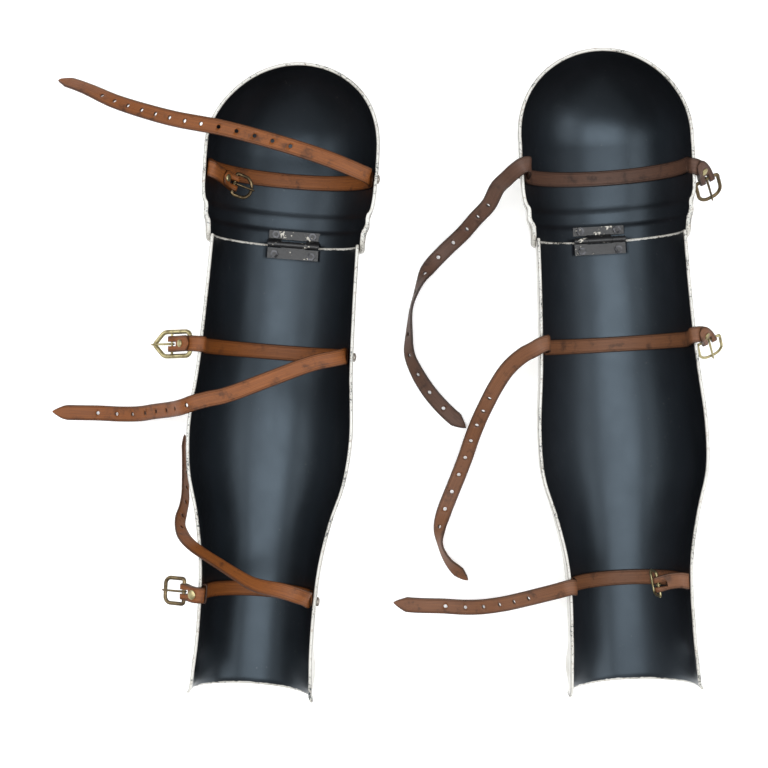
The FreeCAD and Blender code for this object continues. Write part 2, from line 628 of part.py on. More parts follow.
# Outer face of the wall, inner end and height of each wall rivet.
WALL_RIVETS = {
    "left_knee": (82.1, 72.8, 75), "left_calf": (72.8, 62.6, 71), "left_ankle": (56.2, 47, 65),
    "right_knee": (82.1, 72.8, 75), "right_calf": (74, 63.6, 71), "right_ankle": (59, 49.8, 65),
}
GUARDS = {
    "left": {"at": (-93.2, 136.7), "turn": -4.5, "hinge": 4, "rivet_side": 1, "outer_on_cup": True},
    "right": {"at": (214.3, 141.6), "turn": 3.3, "hinge": -2, "rivet_side": -1, "outer_on_cup": False},
}
made = {}


def finish(obj, label, guard, local=None):
    """Name a sub-part and set it in its place in the pair."""
    x, y = guard["at"]
    home = Placement(Vector(x + size("pair_x"), y + size("pair_y"), 0),
                     Rotation(Vector(0, 0, 1), guard["turn"]))
    obj.Label = label
    doc.recompute()
    obj.Placement = home.multiply(local if local else Placement())
    made[label] = obj


def knee_hinge(side, guard):
    aside = Placement(Vector(guard["hinge"], 0, 0), Rotation())
    outer = guard["outer_on_cup"]
    finish(hinge_leaf(side + "_hinge_leaf_upper", 1, True, outer), side + "_hinge_leaf_upper",
           guard, aside)
    finish(hinge_leaf(side + "_hinge_leaf_lower", -1, False, not outer), side + "_hinge_leaf_lower",
           guard, aside)
    finish(hinge_pin(side + "_hinge_pin"), side + "_hinge_pin", guard, aside)
    seat = size("pin_height") - size("knuckle_radius") + size("leaf_thick")
    low = seat - size("leaf_drop")
    high = size("nut_height") + size("bolt_over")
    reach = size("bolt_y")
    finish(bolt_pair(side + "_hinge_bolts_upper", reach, size("cup_bolt_floor"), low + high),
           side + "_hinge_bolts_upper", guard, aside)
    finish(bolt_pair(side + "_hinge_bolts_lower", -reach, size("shin_bolt_floor"), seat + high),
           side + "_hinge_bolts_lower", guard, aside)
    finish(nut_pair(side + "_hinge_nuts_upper", reach, low), side + "_hinge_nuts_upper", guard, aside)
    finish(nut_pair(side + "_hinge_nuts_lower", -reach, seat), side + "_hinge_nuts_lower", guard, aside)


def buckle_spot(name):
    at, tip, bar, _ = BUCKLES[name]
    return frame_place(at, tip, bar)


def strap_path(name, side):
    """The whole buckle strap: the belt, its end over the edge and the last point by the bar."""
    radius, middle, y = LINES[name]
    spot = buckle_spot(name)
    last = spot.multVec(Vector(-1.5, 0, -2.6))
    across = spot.Rotation.multVec(Vector(0, 1, 0))
    if across.y < 0:
        across = across * -1
    return belt(radius, middle, y, side) + ENDS[name] + [tuple(last) + (0, tuple(across))]


def on_strap(path, distance, lift):
    """A placement on a strap, a given length back from its end, with x along the strap."""
    points = [Vector(*p[:3]) for p in path]
    left = distance
    index = len(points) - 1
    while (points[index] - points[index - 1]).Length < left:
        left -= (points[index] - points[index - 1]).Length
        index -= 1
    run = (points[index] - points[index - 1]).normalize()
    spot = points[index] - run * left
    across = Vector(*path[index][4])
    across = (across - run * across.dot(run)).normalize()
    up = run.cross(across)
    if up.z < 0:
        across = across * -1
        up = up * -1
    return Placement(spot + up * lift, Rotation(run, across, up, "XYZ"))


def straps(side, guard):
    buckle_side = -guard["rivet_side"]
    over = size("strap_thick") / 2
    spots = {}
    for place_name in ("knee", "calf", "ankle"):
        name = side + "_" + place_name
        path = strap_path(name, buckle_side)
        spot = buckle_spot(name)
        finish(band_solid(name + "_buckle_strap", path, spot), name + "_buckle_strap", guard)
        finish(tail_solid(name + "_billet", TAILS[name]), name + "_billet", guard)
        box = BUCKLES[name][3]
        label = name + "_buckle_frame"
        frame = square_frame(label, *box) if box else round_frame(label)
        finish(frame, label, guard, spot)
        tip = box[0] + box[1] if box else size("round_reach") + size("round_radius")
        finish(prong(name + "_buckle_prong", tip + 0.4), name + "_buckle_prong", guard, spot)
        spots[place_name] = on_strap(path, CHAPE_RIVET, over)
        if name == KEEPER_ON:
            finish(keeper(name + "_keeper"), name + "_keeper", guard, on_strap(path, KEEPER_BACK, 0))
    wall = {}
    for place_name in ("knee", "calf", "ankle"):
        outer, inner, z = WALL_RIVETS[side + "_" + place_name]
        wall[place_name] = (guard["rivet_side"], LINES[side + "_" + place_name][2], z, outer, inner)
    finish(wall_rivets(side + "_knee_wall_rivet", [wall["knee"]]), side + "_knee_wall_rivet", guard)
    finish(wall_rivets(side + "_shin_wall_rivets", [wall["calf"], wall["ankle"]]),
           side + "_shin_wall_rivets", guard)
    label = side + "_knee_strap_rivet"
    finish(strap_rivets(label, [spots["knee"]]), label, guard)
    label = side + "_shin_strap_rivets"
    finish(strap_rivets(label, [spots["calf"], spots["ankle"]]), label, guard)


def check_and_export():
    doc.recompute()
    bad = [o.Name for o in doc.Objects if "Invalid" in o.State or "Error" in o.State]
    if bad:
        raise RuntimeError("objects that did not compute: %s" % bad)
    os.makedirs("parts", exist_ok=True)
    box = FreeCAD.BoundBox()
    for label, obj in made.items():
        shape = obj.Shape
        if shape.isNull() or not shape.isValid() or not shape.Solids:
            raise RuntimeError("%s is not a valid solid" % label)
        shape.exportStep("parts/%s.step" % label)
        tight = shape.optimalBoundingBox(False)
        box.add(tight)
        low = tight.ZMin
        print("%-28s solids %d volume %9.1f lowest %6.2f" % (label, len(shape.Solids), shape.Volume, low))
    print("box", box, "nodes", len(made))


for side_name, guard_row in GUARDS.items():
    widths = "shin_w" if side_name == "left" else "shin_v"
    finish(shin_shell(side_name + "_shin", widths), side_name + "_shin_shell", guard_row)
    finish(knee_cup(side_name + "_cup", side_name + "_cup_end"), side_name + "_knee_cup", guard_row)
    knee_hinge(side_name, guard_row)
    straps(side_name, guard_row)
check_and_export()
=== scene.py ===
# %% [markdown]
# A pair of hinged leg guards lies on its fronts, hollow side up. The CAD frame
# gives every size and every joint. Here the plain solids get their real skins:
# painted shells, leather straps, brass buckles. The frame is loaded first.

# %% Load the frame
import bpy
import bmesh
import json
import math
import numpy as np
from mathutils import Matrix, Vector


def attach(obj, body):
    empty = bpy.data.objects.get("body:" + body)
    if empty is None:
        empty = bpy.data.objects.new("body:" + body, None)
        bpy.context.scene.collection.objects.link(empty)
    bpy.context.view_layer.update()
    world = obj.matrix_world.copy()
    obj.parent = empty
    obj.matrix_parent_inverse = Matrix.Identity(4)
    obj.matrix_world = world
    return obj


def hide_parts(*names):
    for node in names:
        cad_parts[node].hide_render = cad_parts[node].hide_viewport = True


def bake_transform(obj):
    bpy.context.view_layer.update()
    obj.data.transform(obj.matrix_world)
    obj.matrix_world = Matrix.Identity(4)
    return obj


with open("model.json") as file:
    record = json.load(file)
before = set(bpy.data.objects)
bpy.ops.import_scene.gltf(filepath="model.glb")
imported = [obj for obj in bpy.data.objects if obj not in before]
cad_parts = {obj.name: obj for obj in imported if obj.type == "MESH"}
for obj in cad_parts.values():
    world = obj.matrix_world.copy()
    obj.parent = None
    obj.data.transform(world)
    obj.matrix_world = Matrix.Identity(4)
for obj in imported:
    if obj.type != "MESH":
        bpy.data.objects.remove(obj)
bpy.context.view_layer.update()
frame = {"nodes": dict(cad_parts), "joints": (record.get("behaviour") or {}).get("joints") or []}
MM = 0.001
JOINTS = {j["name"]: j for j in frame["joints"]}
SIDES = ("left", "right")

# %% [markdown]
# Each guard has its own axes: x across, y towards the knee, z up, with y = 0 at
# the hinge pin. The knee joint holds that place and that turn, so one helper
# can carry points from a guard's axes to the frame's.


# %% A guard's own axes
def guard_axes(side):
    """Origin under the hinge pin, and the matrix whose rows are the guard's x, y, z."""
    joint = JOINTS[side + "_knee_hinge"]
    across = np.array(joint["axis"], float)
    across /= np.linalg.norm(across)
    up = np.array((0.0, 0.0, 1.0))
    origin = np.array(joint["pos_m"], float) * (1, 1, 0)
    return origin, np.array((across, np.cross(up, across), up))


AXES = {side: guard_axes(side) for side in SIDES}


def to_frame(side, points_mm):
    """Guard millimetres to frame metres: the origin plus x, y, z times the three axes."""
    origin, rows = AXES[side]
    return origin + np.asarray(points_mm, float) * MM @ rows


for side in SIDES:
    print(side, "guard hinge at", np.round(AXES[side][0], 4))

# %% [markdown]
# Every new piece ends up as a mesh made from numpy arrays. Two makers cover
# most shapes: a grid of points that may close on itself in one direction, and
# a ring of points carried along a line. Both merge doubled points, so seams
# and tips are closed, and both turn the faces outwards.


# %% From arrays to a mesh
def grid_faces(rows, cols, wrap=False):
    """Four-sided faces of a rows x cols grid; wrap joins the last column to the first."""
    width = cols if wrap else cols - 1
    i, j = np.meshgrid(np.arange(rows - 1), np.arange(width), indexing="ij")
    k = (j + 1) % cols
    quads = np.stack([i * cols + j, i * cols + k, (i + 1) * cols + k, (i + 1) * cols + j], -1)
    return quads.reshape(-1, 4)


def make_piece(name, points, faces, attributes=None, uvs=None):
    """One closed object from points and four-sided faces, with doubles merged."""
    mesh = bpy.data.meshes.new(name)
    mesh.from_pydata(np.asarray(points, float).tolist(), [], np.asarray(faces).tolist())
    for key, values in (attributes or {}).items():
        layer = mesh.attributes.new(key, "FLOAT", "POINT")
        layer.data.foreach_set("value", np.asarray(values, np.float32))
    if uvs is not None:
        layer = mesh.uv_layers.new(name="UVMap")
        loops = np.zeros(len(mesh.loops), np.int32)
        mesh.loops.foreach_get("vertex_index", loops)
        layer.data.foreach_set("uv", np.asarray(uvs, np.float32)[loops].ravel())
    bm = bmesh.new()
    bm.from_mesh(mesh)
    bmesh.ops.remove_doubles(bm, verts=bm.verts, dist=2e-6)
    bmesh.ops.recalc_face_normals(bm, faces=bm.faces)
    bm.to_mesh(mesh)
    bm.free()
    mesh.polygons.foreach_set("use_smooth", np.ones(len(mesh.polygons), bool))
    piece = bpy.data.objects.new(name, mesh)
    bpy.context.scene.collection.objects.link(piece)
    return piece


def dress(piece, body, material, slot_name, *nodes):
    """Material, body and the CAD nodes that the piece stands for."""
    piece.data.materials.clear()
    piece.data.materials.append(material)
    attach(piece, body)
    if nodes:
        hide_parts(*nodes)
    return piece


def through(stations, values, at):
    """A smooth curve through the stations: cubic pieces whose slopes are the mean of both sides."""
    x = np.asarray(stations, float)
    y = np.asarray(values, float)
    step = np.diff(x)
    rise = np.diff(y, axis=0) / (step if y.ndim == 1 else step[:, None])
    slope = np.concatenate([rise[:1], (rise[1:] + rise[:-1]) / 2, rise[-1:]])
    at = np.asarray(at, float)
    k = np.clip(np.searchsorted(x, at, side="right") - 1, 0, len(x) - 2)
    h = step[k]
    u = (at - x[k]) / h
    if y.ndim > 1:
        u = u[:, None]
        h = h[:, None]
    return ((2 * u**3 - 3 * u**2 + 1) * y[k] + (u**3 - 2 * u**2 + u) * h * slope[k]
            + (3 * u**2 - 2 * u**3) * y[k + 1] + (u**3 - u**2) * h * slope[k + 1])


# %% [markdown]
# Shader maths reads best as plain expressions. A small class wraps a node
# socket, so that mask * (1 - wear) adds the Math nodes by itself. Every other
# node comes from one method that takes its type, settings and inputs.


# %% Shader expressions
class Sock:
    """A node socket that takes part in arithmetic."""

    def __init__(self, paint, socket):
        self.paint = paint
        self.socket = socket

    def math(self, operation, other=0.0):
        return self.paint.node("ShaderNodeMath", {"operation": operation}, {0: self, 1: other})[0]

    def __add__(self, other):
        return self.math("ADD", other)

    def __sub__(self, other):
        return self.math("SUBTRACT", other)

    def __rsub__(self, other):
        return self.paint.node("ShaderNodeMath", {"operation": "SUBTRACT"}, {0: other, 1: self})[0]

    def __mul__(self, other):
        return self.math("MULTIPLY", other)

    __radd__ = __add__
    __rmul__ = __mul__

    def abs(self):
        return self.math("ABSOLUTE")

    def max(self, other):
        return self.math("MAXIMUM", other)

    def ramp(self, low, high):
        """0 below low, 1 above high; low may be the larger, which turns it round."""
        settings = {"interpolation_type": "SMOOTHSTEP"}
        a, b, c, d = (low, high, 0.0, 1.0) if low < high else (high, low, 1.0, 0.0)
        return self.paint.node("ShaderNodeMapRange", settings, {0: self, 1: a, 2: b, 3: c, 4: d})[0]


class Paint:
    """One material: its Principled shader and the nodes that feed it."""

    def __init__(self, name):
        self.material = bpy.data.materials.new(name)
        self.material.use_nodes = True
        self.tree = self.material.node_tree
        self.shader = self.tree.nodes["Principled BSDF"]

    def node(self, kind, settings=None, inputs=None):
        node = self.tree.nodes.new(kind)
        for key, value in (settings or {}).items():
            setattr(node, key, value)
        for key, value in (inputs or {}).items():
            self.feed(node.inputs[key], value)
        return [Sock(self, out) for out in node.outputs]

    def feed(self, socket, value):
        if isinstance(value, Sock):
            self.tree.links.new(value.socket, socket)
        elif socket.type == "RGBA" and len(value) == 3:
            socket.default_value = (*value, 1.0)
        else:
            socket.default_value = value

    def set(self, **values):
        """Shader inputs by name, with _ for a space, such as Base_Color=..."""
        for key, value in values.items():
            self.feed(self.shader.inputs[key.replace("_", " ")], value)

    def place(self):
        return self.node("ShaderNodeTexCoord")[3]

    def uv(self):
        both = self.node("ShaderNodeUVMap", {"uv_map": "UVMap"})[0]
        parts = self.node("ShaderNodeSeparateXYZ", None, {0: both})
        return both, parts[1]

    def value(self, name):
        return self.node("ShaderNodeAttribute", {"attribute_name": name})[2]

    def noise(self, where, scale, detail=4.0, rough=0.5, warp=0.0):
        inputs = {"Vector": where, "Scale": scale, "Detail": detail, "Roughness": rough,
                  "Distortion": warp}
        return self.node("ShaderNodeTexNoise", None, inputs)[0]

    def stretch(self, where, x, y, z):
        return self.node("ShaderNodeMapping", None, {"Vector": where, "Scale": (x, y, z)})[0]

    def mix(self, factor, first, second):
        """A colour between two others."""
        made = self.node("ShaderNodeMix", {"data_type": "RGBA"}, {0: factor, 6: first, 7: second})
        return made[2]

    def bump(self, height, strength, distance):
        normal = self.node("ShaderNodeBump", None,
                           {"Height": height, "Strength": strength, "Distance": distance})[0]
        self.set(Normal=normal)


print("shader helpers ready")

# %% [markdown]
# The shells were painted twice: black inside, cream outside and over the edge.
# One material does both. The mesh carries two numbers per point: "inside",
# which is 1 on the hollow face, and "edge", the distance in millimetres from
# the nearest free edge. Where the edge paint has been knocked off, dark patches
# of the base show, and paint has run a little way over on to the black.


# %% Shell paint
def shell_paint():
    paint = Paint("shell_paint")
    where = paint.place()
    inside = paint.value("inside")
    edge = paint.value("edge")
    fine = paint.noise(where, 260.0, 5.0, 0.62)
    broad = paint.noise(where, 34.0, 4.0, 0.6)
    smear = paint.noise(paint.stretch(where, 9.0, 2.2, 9.0), 1.0, 5.0, 0.6, 0.4)
    specks = paint.noise(where, 620.0, 3.0, 0.7)

    ragged = edge + (fine - 0.5) * 2.6 + (broad - 0.5) * 1.6
    black = inside * ragged.ramp(0.4, 0.9)
    chips = ((broad * 0.4 + specks * 0.75).ramp(0.64, 0.68)) * edge.ramp(3.6, 0.8)
    black = black.max(chips)
    scuffs = specks.ramp(0.70, 0.76) * broad.ramp(0.52, 0.6) * inside
    black = black * (1 - scuffs * 0.8)

    dark = paint.mix(smear.ramp(0.35, 0.7), (0.0030, 0.0030, 0.0036), (0.0066, 0.0066, 0.0080))
    aged = paint.mix(broad.ramp(0.4, 0.75), (0.62, 0.60, 0.55), (0.44, 0.415, 0.36))
    grime_and_rim_shade = paint.mix(fine.ramp(0.56, 0.72) * edge.ramp(16.0, 2.0), aged, (0.36, 0.28, 0.21))
    # Painted shade: this mask, laid over the grime colour on the next line, darkens the outer half
    # of the rounded edge, and the outer face within 3 mm of it, to grey-brown with a little noise.
    # It stands in for the shading along the shell's outline.
    painted_rim_shade = (1 - inside.ramp(0.10, 0.45)) * edge.ramp(3.0, 0.6)
    grime_and_rim_shade = paint.mix(painted_rim_shade * (0.45 + fine * 0.5), grime_and_rim_shade, (0.17, 0.15, 0.125))
    paint.set(Base_Color=paint.mix(black, grime_and_rim_shade, dark))
    satin = 0.37 + (smear - 0.5) * 0.30 + (broad - 0.5) * 0.16
    paint.set(Roughness=black * satin + (1 - black) * 0.38)
    paint.shader.inputs["Specular IOR Level"].default_value = 0.60
    paint.shader.inputs["Specular Tint"].default_value = (0.66, 0.84, 1.0, 1.0)
    paint.shader.inputs["Coat Roughness"].default_value = 0.2
    paint.set(Coat_Weight=(1 - black) * 0.25)
    paint.bump(smear * 0.5 + broad * 0.4 + fine * 0.12 - black * 0.25, 0.22, 0.0012)
    return paint.material


SHELL = shell_paint()
print("made", SHELL.name)

# %% [markdown]
# A shin shell is a trough. Each cross-section is a half circle with short
# straight walls, and its width, floor height and rim height change along the
# leg. Lofting drawn sections would work too, but one formula for a point of
# the outer face keeps the ankle bulges and the flared lower lip easy to add.
# The inner face is the outer one moved in by the wall, and a rounded bead runs
# round the free edge, as on the real, hand-trimmed shell.

# %% Sections of the shin shell, in millimetres
WALL = 3.0
SHIN_Y = (-436, -385, -310, -265, -226, -185, -122, -60, 0)
SHIN_WIDTH = {"left": (117, 111.5, 115, 129, 149, 156, 147, 142.5, 140),
              "right": (125, 119.5, 120.5, 137, 157, 160, 150, 144, 141)}
SHIN_FLOOR = (1.5, 0.5, 0, 0, 0, 0, 0.5, 3, 5.4)
SHIN_RIM = (76, 78.5, 84, 87, 89, 90, 90, 89, 88)


def rise_of(distance, width):
    """A smooth step from 0 to 1 over width."""
    u = np.clip(distance / width, 0, 1)
    return u * u * (3 - 2 * u)


def section_point(share, radius, floor, rim, wall):
    """A U-section: share -1 to 1 runs rim, wall, half circle, wall, rim.

    The half circle is centred one radius above the floor; wall moves the
    surface towards that centre line.
    """
    middle = floor + radius
    upright = np.maximum(rim - middle, 0.5)
    arc = math.pi / 2 * radius
    run = np.abs(share) * (arc + upright)
    angle = np.minimum(run, arc) / radius
    inner = radius - wall
    x = np.sign(share) * inner * np.sin(angle)
    z = middle - inner * np.cos(angle) + np.maximum(run - arc, 0)
    return x, z


def shin_surface(side, y, share, wall):
    """The shin shell: U-sections along y, two ankle bulges and a lip flared at the lower end."""
    y_line = y[:, 0]
    radius = through(SHIN_Y, SHIN_WIDTH[side], y_line)[:, None] / 2
    floor = through(SHIN_Y, SHIN_FLOOR, y_line)[:, None]
    rim = through(SHIN_Y, SHIN_RIM, y_line)[:, None]
    lip = 1.7 * rise_of(-430.0 - y, 6.0)
    bulge = 3.4 * np.exp(-((y + 409) / 15.0) ** 2 - ((np.abs(share) - 0.72) / 0.17) ** 2)
    x, z = section_point(share, radius, floor, rim, wall)
    middle = floor + radius
    out_x = np.where(z < middle, x, np.sign(share) * (radius - wall))
    length = np.hypot(out_x, np.minimum(z - middle, 0)) + 1e-9
    push = lip * np.minimum(1.0, 0.35 + np.abs(share)) + bulge
    x = x + out_x / length * push
    z = z + np.minimum(z - middle, 0) / length * np.minimum(push, floor + 0.2)
    return np.stack([x, y, z], -1)


# %% A shell with a rounded edge
def border(rows, cols, sides):
    """Row and column numbers along the free edge, in order round the grid."""
    top = [(i, 0) for i in range(rows)]
    end = [(rows - 1, j) for j in range(cols)]
    back = [(i, cols - 1) for i in range(rows)][::-1]
    start = [(0, j) for j in range(cols)][::-1]
    path = []
    for key, run in (("start", start), ("top", top), ("end", end), ("back", back)):
        if key in sides:
            path += run if not path or path[-1] != run[0] else run[1:]
    return np.array(path)


def outward(points, sides):
    """At each free edge, the direction that leaves the surface, along the surface."""
    away = np.zeros_like(points)
    steps = {"top": (np.s_[:, 0], np.s_[:, 1]), "back": (np.s_[:, -1], np.s_[:, -2]),
             "start": (np.s_[0], np.s_[1]), "end": (np.s_[-1], np.s_[-2])}
    for key in sides:
        here, inner = steps[key]
        step = points[here] - points[inner]
        away[here] += step / (np.linalg.norm(step, axis=-1, keepdims=True) + 1e-12)
    return away / (np.linalg.norm(away, axis=-1, keepdims=True) + 1e-12)


def shell_piece(name, outer, inner, sides, edge):
    """Outer face, inner face and a half-round bead between them.

    The bead is centre + half * cos(a) + away * sin(a) * length(half), a from 0 to pi.
    """
    rows, cols = outer.shape[:2]
    path = border(rows, cols, sides)
    closed = len(sides) == 4
    a = outer[path[:, 0], path[:, 1]]
    b = inner[path[:, 0], path[:, 1]]
    away = outward(outer, sides)[path[:, 0], path[:, 1]]
    half = (a - b) / 2
    size = np.linalg.norm(half, axis=-1, keepdims=True)
    angles = np.linspace(0, math.pi, 9)[:, None, None]
    bead = (a + b) / 2 + half * np.cos(angles) + away * size * np.sin(angles)
    count = rows * cols
    faces = [grid_faces(rows, cols), grid_faces(rows, cols)[:, ::-1] + count,
             grid_faces(9, len(path)) + 2 * count]
    points = np.concatenate([outer.reshape(-1, 3), inner.reshape(-1, 3), bead.reshape(-1, 3)])
    hollow = np.concatenate([np.zeros(count), np.ones(count),
                             np.repeat(np.linspace(0, 1, 9), len(path))])
    far = np.concatenate([edge.ravel(), edge.ravel(), np.zeros(bead.shape[0] * bead.shape[1])])
    print(name, "points", len(points), "free edge closed:", closed)
    return make_piece(name, points, np.concatenate(faces), {"inside": hollow, "edge": far})


def stack_rows(start, stop, count, ends=0.35):
    """Row positions, a little closer together near both ends."""
    u = np.linspace(0, 1, count)
    return start + (stop - start) * (u - ends / (2 * math.pi) * np.sin(2 * math.pi * u))


def shin_shell(side):
    y, share = np.meshgrid(stack_rows(-434.5, -1.5, 170), stack_rows(-1, 1, 130), indexing="ij")
    outer = shin_surface(side, y, share, 0.0)
    inner = shin_surface(side, y, share, WALL)
    rim = (outer[:, :1, 2] + 0 * share)
    down = np.minimum(rim - outer[..., 2], 40)
    down = np.where(outer[..., 2] < 40, 40, down)
    edge = np.minimum(down, np.minimum(y + 434.5, -1.5 - y))
    bead = WALL / 2
    outer[..., 2] -= bead * rise_of(np.abs(share) - 0.8, 0.2)
    inner[..., 2] -= bead * rise_of(np.abs(share) - 0.8, 0.2)
    piece = shell_piece(side + "_shin_shell_painted", to_frame(side, outer), to_frame(side, inner),
                        ("start", "top", "end", "back"), edge)
    return dress(piece, side + "_shin", SHELL, "shell", side + "_shin_shell")


for side in SIDES:
    shin_shell(side)

# %% [markdown]
# The knee cup is a trough with two small steps pressed into it, closed at its
# far end by a quarter of a sphere. Here one parameter follows the rim, up one
# side, round the end and down the other, and the second goes from the rim down
# to the middle line of the floor. That keeps the rim itself a clean row of
# points, and its lower corners can be rounded as the real ones are.

# %% The knee cup
CUP_Y = (-6, 12, 16, 28, 32, 64, 95)
CUP_WIDTH = (151, 152.5, 156, 157, 160.5, 165, 165)
CUP_FLOOR = (1.5, 0.6, 0.3, 0.3, 0.3, 0.3, 0.3)
CUP_RIM = 88.0
CUP_CENTRE = {"left": 84.5, "right": 92.8}
LEAN = {"left": 6.0, "right": -3.0}
CORNER = 15.0


def cup_profile(depth, radius, floor, wall):
    """From the rim (depth 0) down the wall and a quarter circle to the floor (depth 1)."""
    middle = floor + radius
    upright = np.maximum(CUP_RIM - WALL / 2 - middle, 0.5)
    arc = math.pi / 2 * radius
    run = depth * (arc + upright)
    angle = np.clip((run - upright) / radius, 0, math.pi / 2)
    reach = (radius - wall) * np.cos(angle)
    z = middle - (radius - wall) * np.sin(angle) + np.maximum(upright - run, 0)
    return reach, z, run


def cup_surface(side, wall):
    """Rows follow the rim: left side, half circle round the end, right side.

    The inner face steps in below each ridge, and the round end leans a little.
    """
    centre = CUP_CENTRE[side]
    side_rows = stack_rows(0, 1, 64, 0.6)
    turn = np.linspace(0, math.pi, 74)[1:-1]
    depth = np.linspace(0, 1, 76)[None, :]
    low = -4.5
    span = math.pi / 2 * 75 * depth
    rounded = CORNER - np.sqrt(np.maximum(CORNER**2 - np.maximum(CORNER - span, 0) ** 2, 0))
    start = low + rounded
    y_side = start + (centre - start) * side_rows[:, None]
    radius = through(CUP_Y, CUP_WIDTH, y_side.ravel()).reshape(y_side.shape) / 2
    floor = through(CUP_Y, CUP_FLOOR, y_side.ravel()).reshape(y_side.shape)
    ridges = 1.1 * (1 - rise_of(y_side - 13, 3)) + 0.8 * (1 - rise_of(y_side - 29, 3))
    reach, z, run = cup_profile(depth, radius, floor, wall * (1 + ridges / WALL))
    left = np.stack([-reach, y_side, z], -1)
    right = np.stack([reach, y_side, z], -1)[::-1]
    reach, z, _ = cup_profile(depth, CUP_WIDTH[-1] / 2, CUP_FLOOR[-1], wall)
    reach = reach + 0 * turn[:, None]
    end = np.stack([-reach * np.cos(turn)[:, None],
                    centre + reach * np.sin(turn)[:, None], z + 0 * reach], -1)
    edge_side = np.minimum(run, y_side - start)
    edge_end = np.repeat(depth * 140, len(turn), 0)
    surface = np.concatenate([left, end, right])
    surface[..., 0] += LEAN[side] * rise_of(surface[..., 1] - 85, 80)
    return surface, np.concatenate([edge_side, edge_end, edge_side[::-1]])


def knee_cup(side):
    outer, edge = cup_surface(side, 0.0)
    inner, _ = cup_surface(side, WALL)
    piece = shell_piece(side + "_knee_cup_painted", to_frame(side, outer), to_frame(side, inner),
                        ("start", "top", "end"), edge)
    return dress(piece, side + "_cup", SHELL, "shell", side + "_knee_cup")


for side in SIDES:
    knee_cup(side)

# %% [markdown]
# The straps are harness leather: about 15 mm wide, rounded at the edges, dull
# on top, darker where hands and buckles have polished them. A strap is an oval
# section carried along a line. The line goes through a few chosen points, and
# the direction across the strap is given with them, so a loose end can lie
# flat, turn on edge or twist.

# %% Leather
def leather(name, light, dark, worn):
    paint = Paint(name)
    where = paint.place()
    uv, across = paint.uv()
    grain = paint.noise(where, 900.0, 4.0, 0.6)
    creases = paint.noise(paint.stretch(uv, 160.0, 30.0, 1.0), 1.0, 5.0, 0.6, 0.5)
    tone = paint.noise(paint.stretch(uv, 14.0, 60.0, 1.0), 1.0, 5.0, 0.6)
    stain = paint.noise(where, 70.0, 5.0, 0.65)
    side = (across - 0.5).abs()
    rim = side.ramp(0.37, 0.48)
    line = side.ramp(0.335, 0.36) * side.ramp(0.395, 0.37)
    body = paint.mix(tone.ramp(0.34, 0.66), light, dark)
    body = paint.mix(stain.ramp(0.52, 0.70) * 0.75, body, worn)
    body = paint.mix((rim * 0.85).max(line * 0.5), body, tuple(c * 0.3 for c in dark))
    body = paint.mix(creases.ramp(0.60, 0.72) * 0.45, body, tuple(c * 0.5 for c in dark))
    paint.set(Base_Color=body)
    paint.set(Roughness=0.52 + (stain - 0.5) * 0.22 - rim * 0.08)
    paint.shader.inputs["Specular IOR Level"].default_value = 0.28
    paint.bump(grain * 0.25 + creases * 0.45 - line * 0.9, 0.5, 0.0006)
    return paint.material


TAN = leather("leather_tan", (0.25, 0.078, 0.015), (0.105, 0.031, 0.007),
              (0.045, 0.016, 0.006))
BROWN = leather("leather_brown", (0.105, 0.050, 0.030), (0.055, 0.027, 0.018),
                (0.026, 0.014, 0.010))
AGED = leather("leather_aged", (0.20, 0.080, 0.034), (0.095, 0.040, 0.019), (0.045, 0.021, 0.012))
print("leathers:", TAN.name, BROWN.name, AGED.name)

# %% A strap along a line
STRAP_WIDE = 15.0
STRAP_THICK = 2.4


def unit(vectors):
    return vectors / (np.linalg.norm(vectors, axis=-1, keepdims=True) + 1e-12)


def strap_line(points, pieces=8):
    """A smooth line through the points by distance along it, and the direction across.

    Each point is (x, y, z, roll) or has the across direction as a fifth value.
    Across is level and at right angles to the run unless it is given.
    """
    centre = np.array([p[:3] for p in points], float)
    chord = np.concatenate([[0], np.cumsum(np.linalg.norm(np.diff(centre, axis=0), axis=1))])
    run = unit(np.gradient(centre, axis=0))
    across = []
    last = np.array((0.0, -1.0, 0.0))
    for p, r in zip(points, run):
        level = np.array((-r[1], r[0], 0.0))
        if len(p) > 4:
            last = np.array(p[4], float)
        elif np.linalg.norm(level) > 0.35:
            last = level
        side = unit(last - r * (last @ r))
        roll = math.radians(p[3])
        across.append(side * math.cos(roll) + np.cross(r, side) * math.sin(roll))
    at = np.concatenate([np.linspace(a, b, pieces, endpoint=False)
                         for a, b in zip(chord[:-1], chord[1:])] + [chord[-1:]])
    line = through(chord, centre, at)
    return line, unit(through(chord, np.array(across), at))


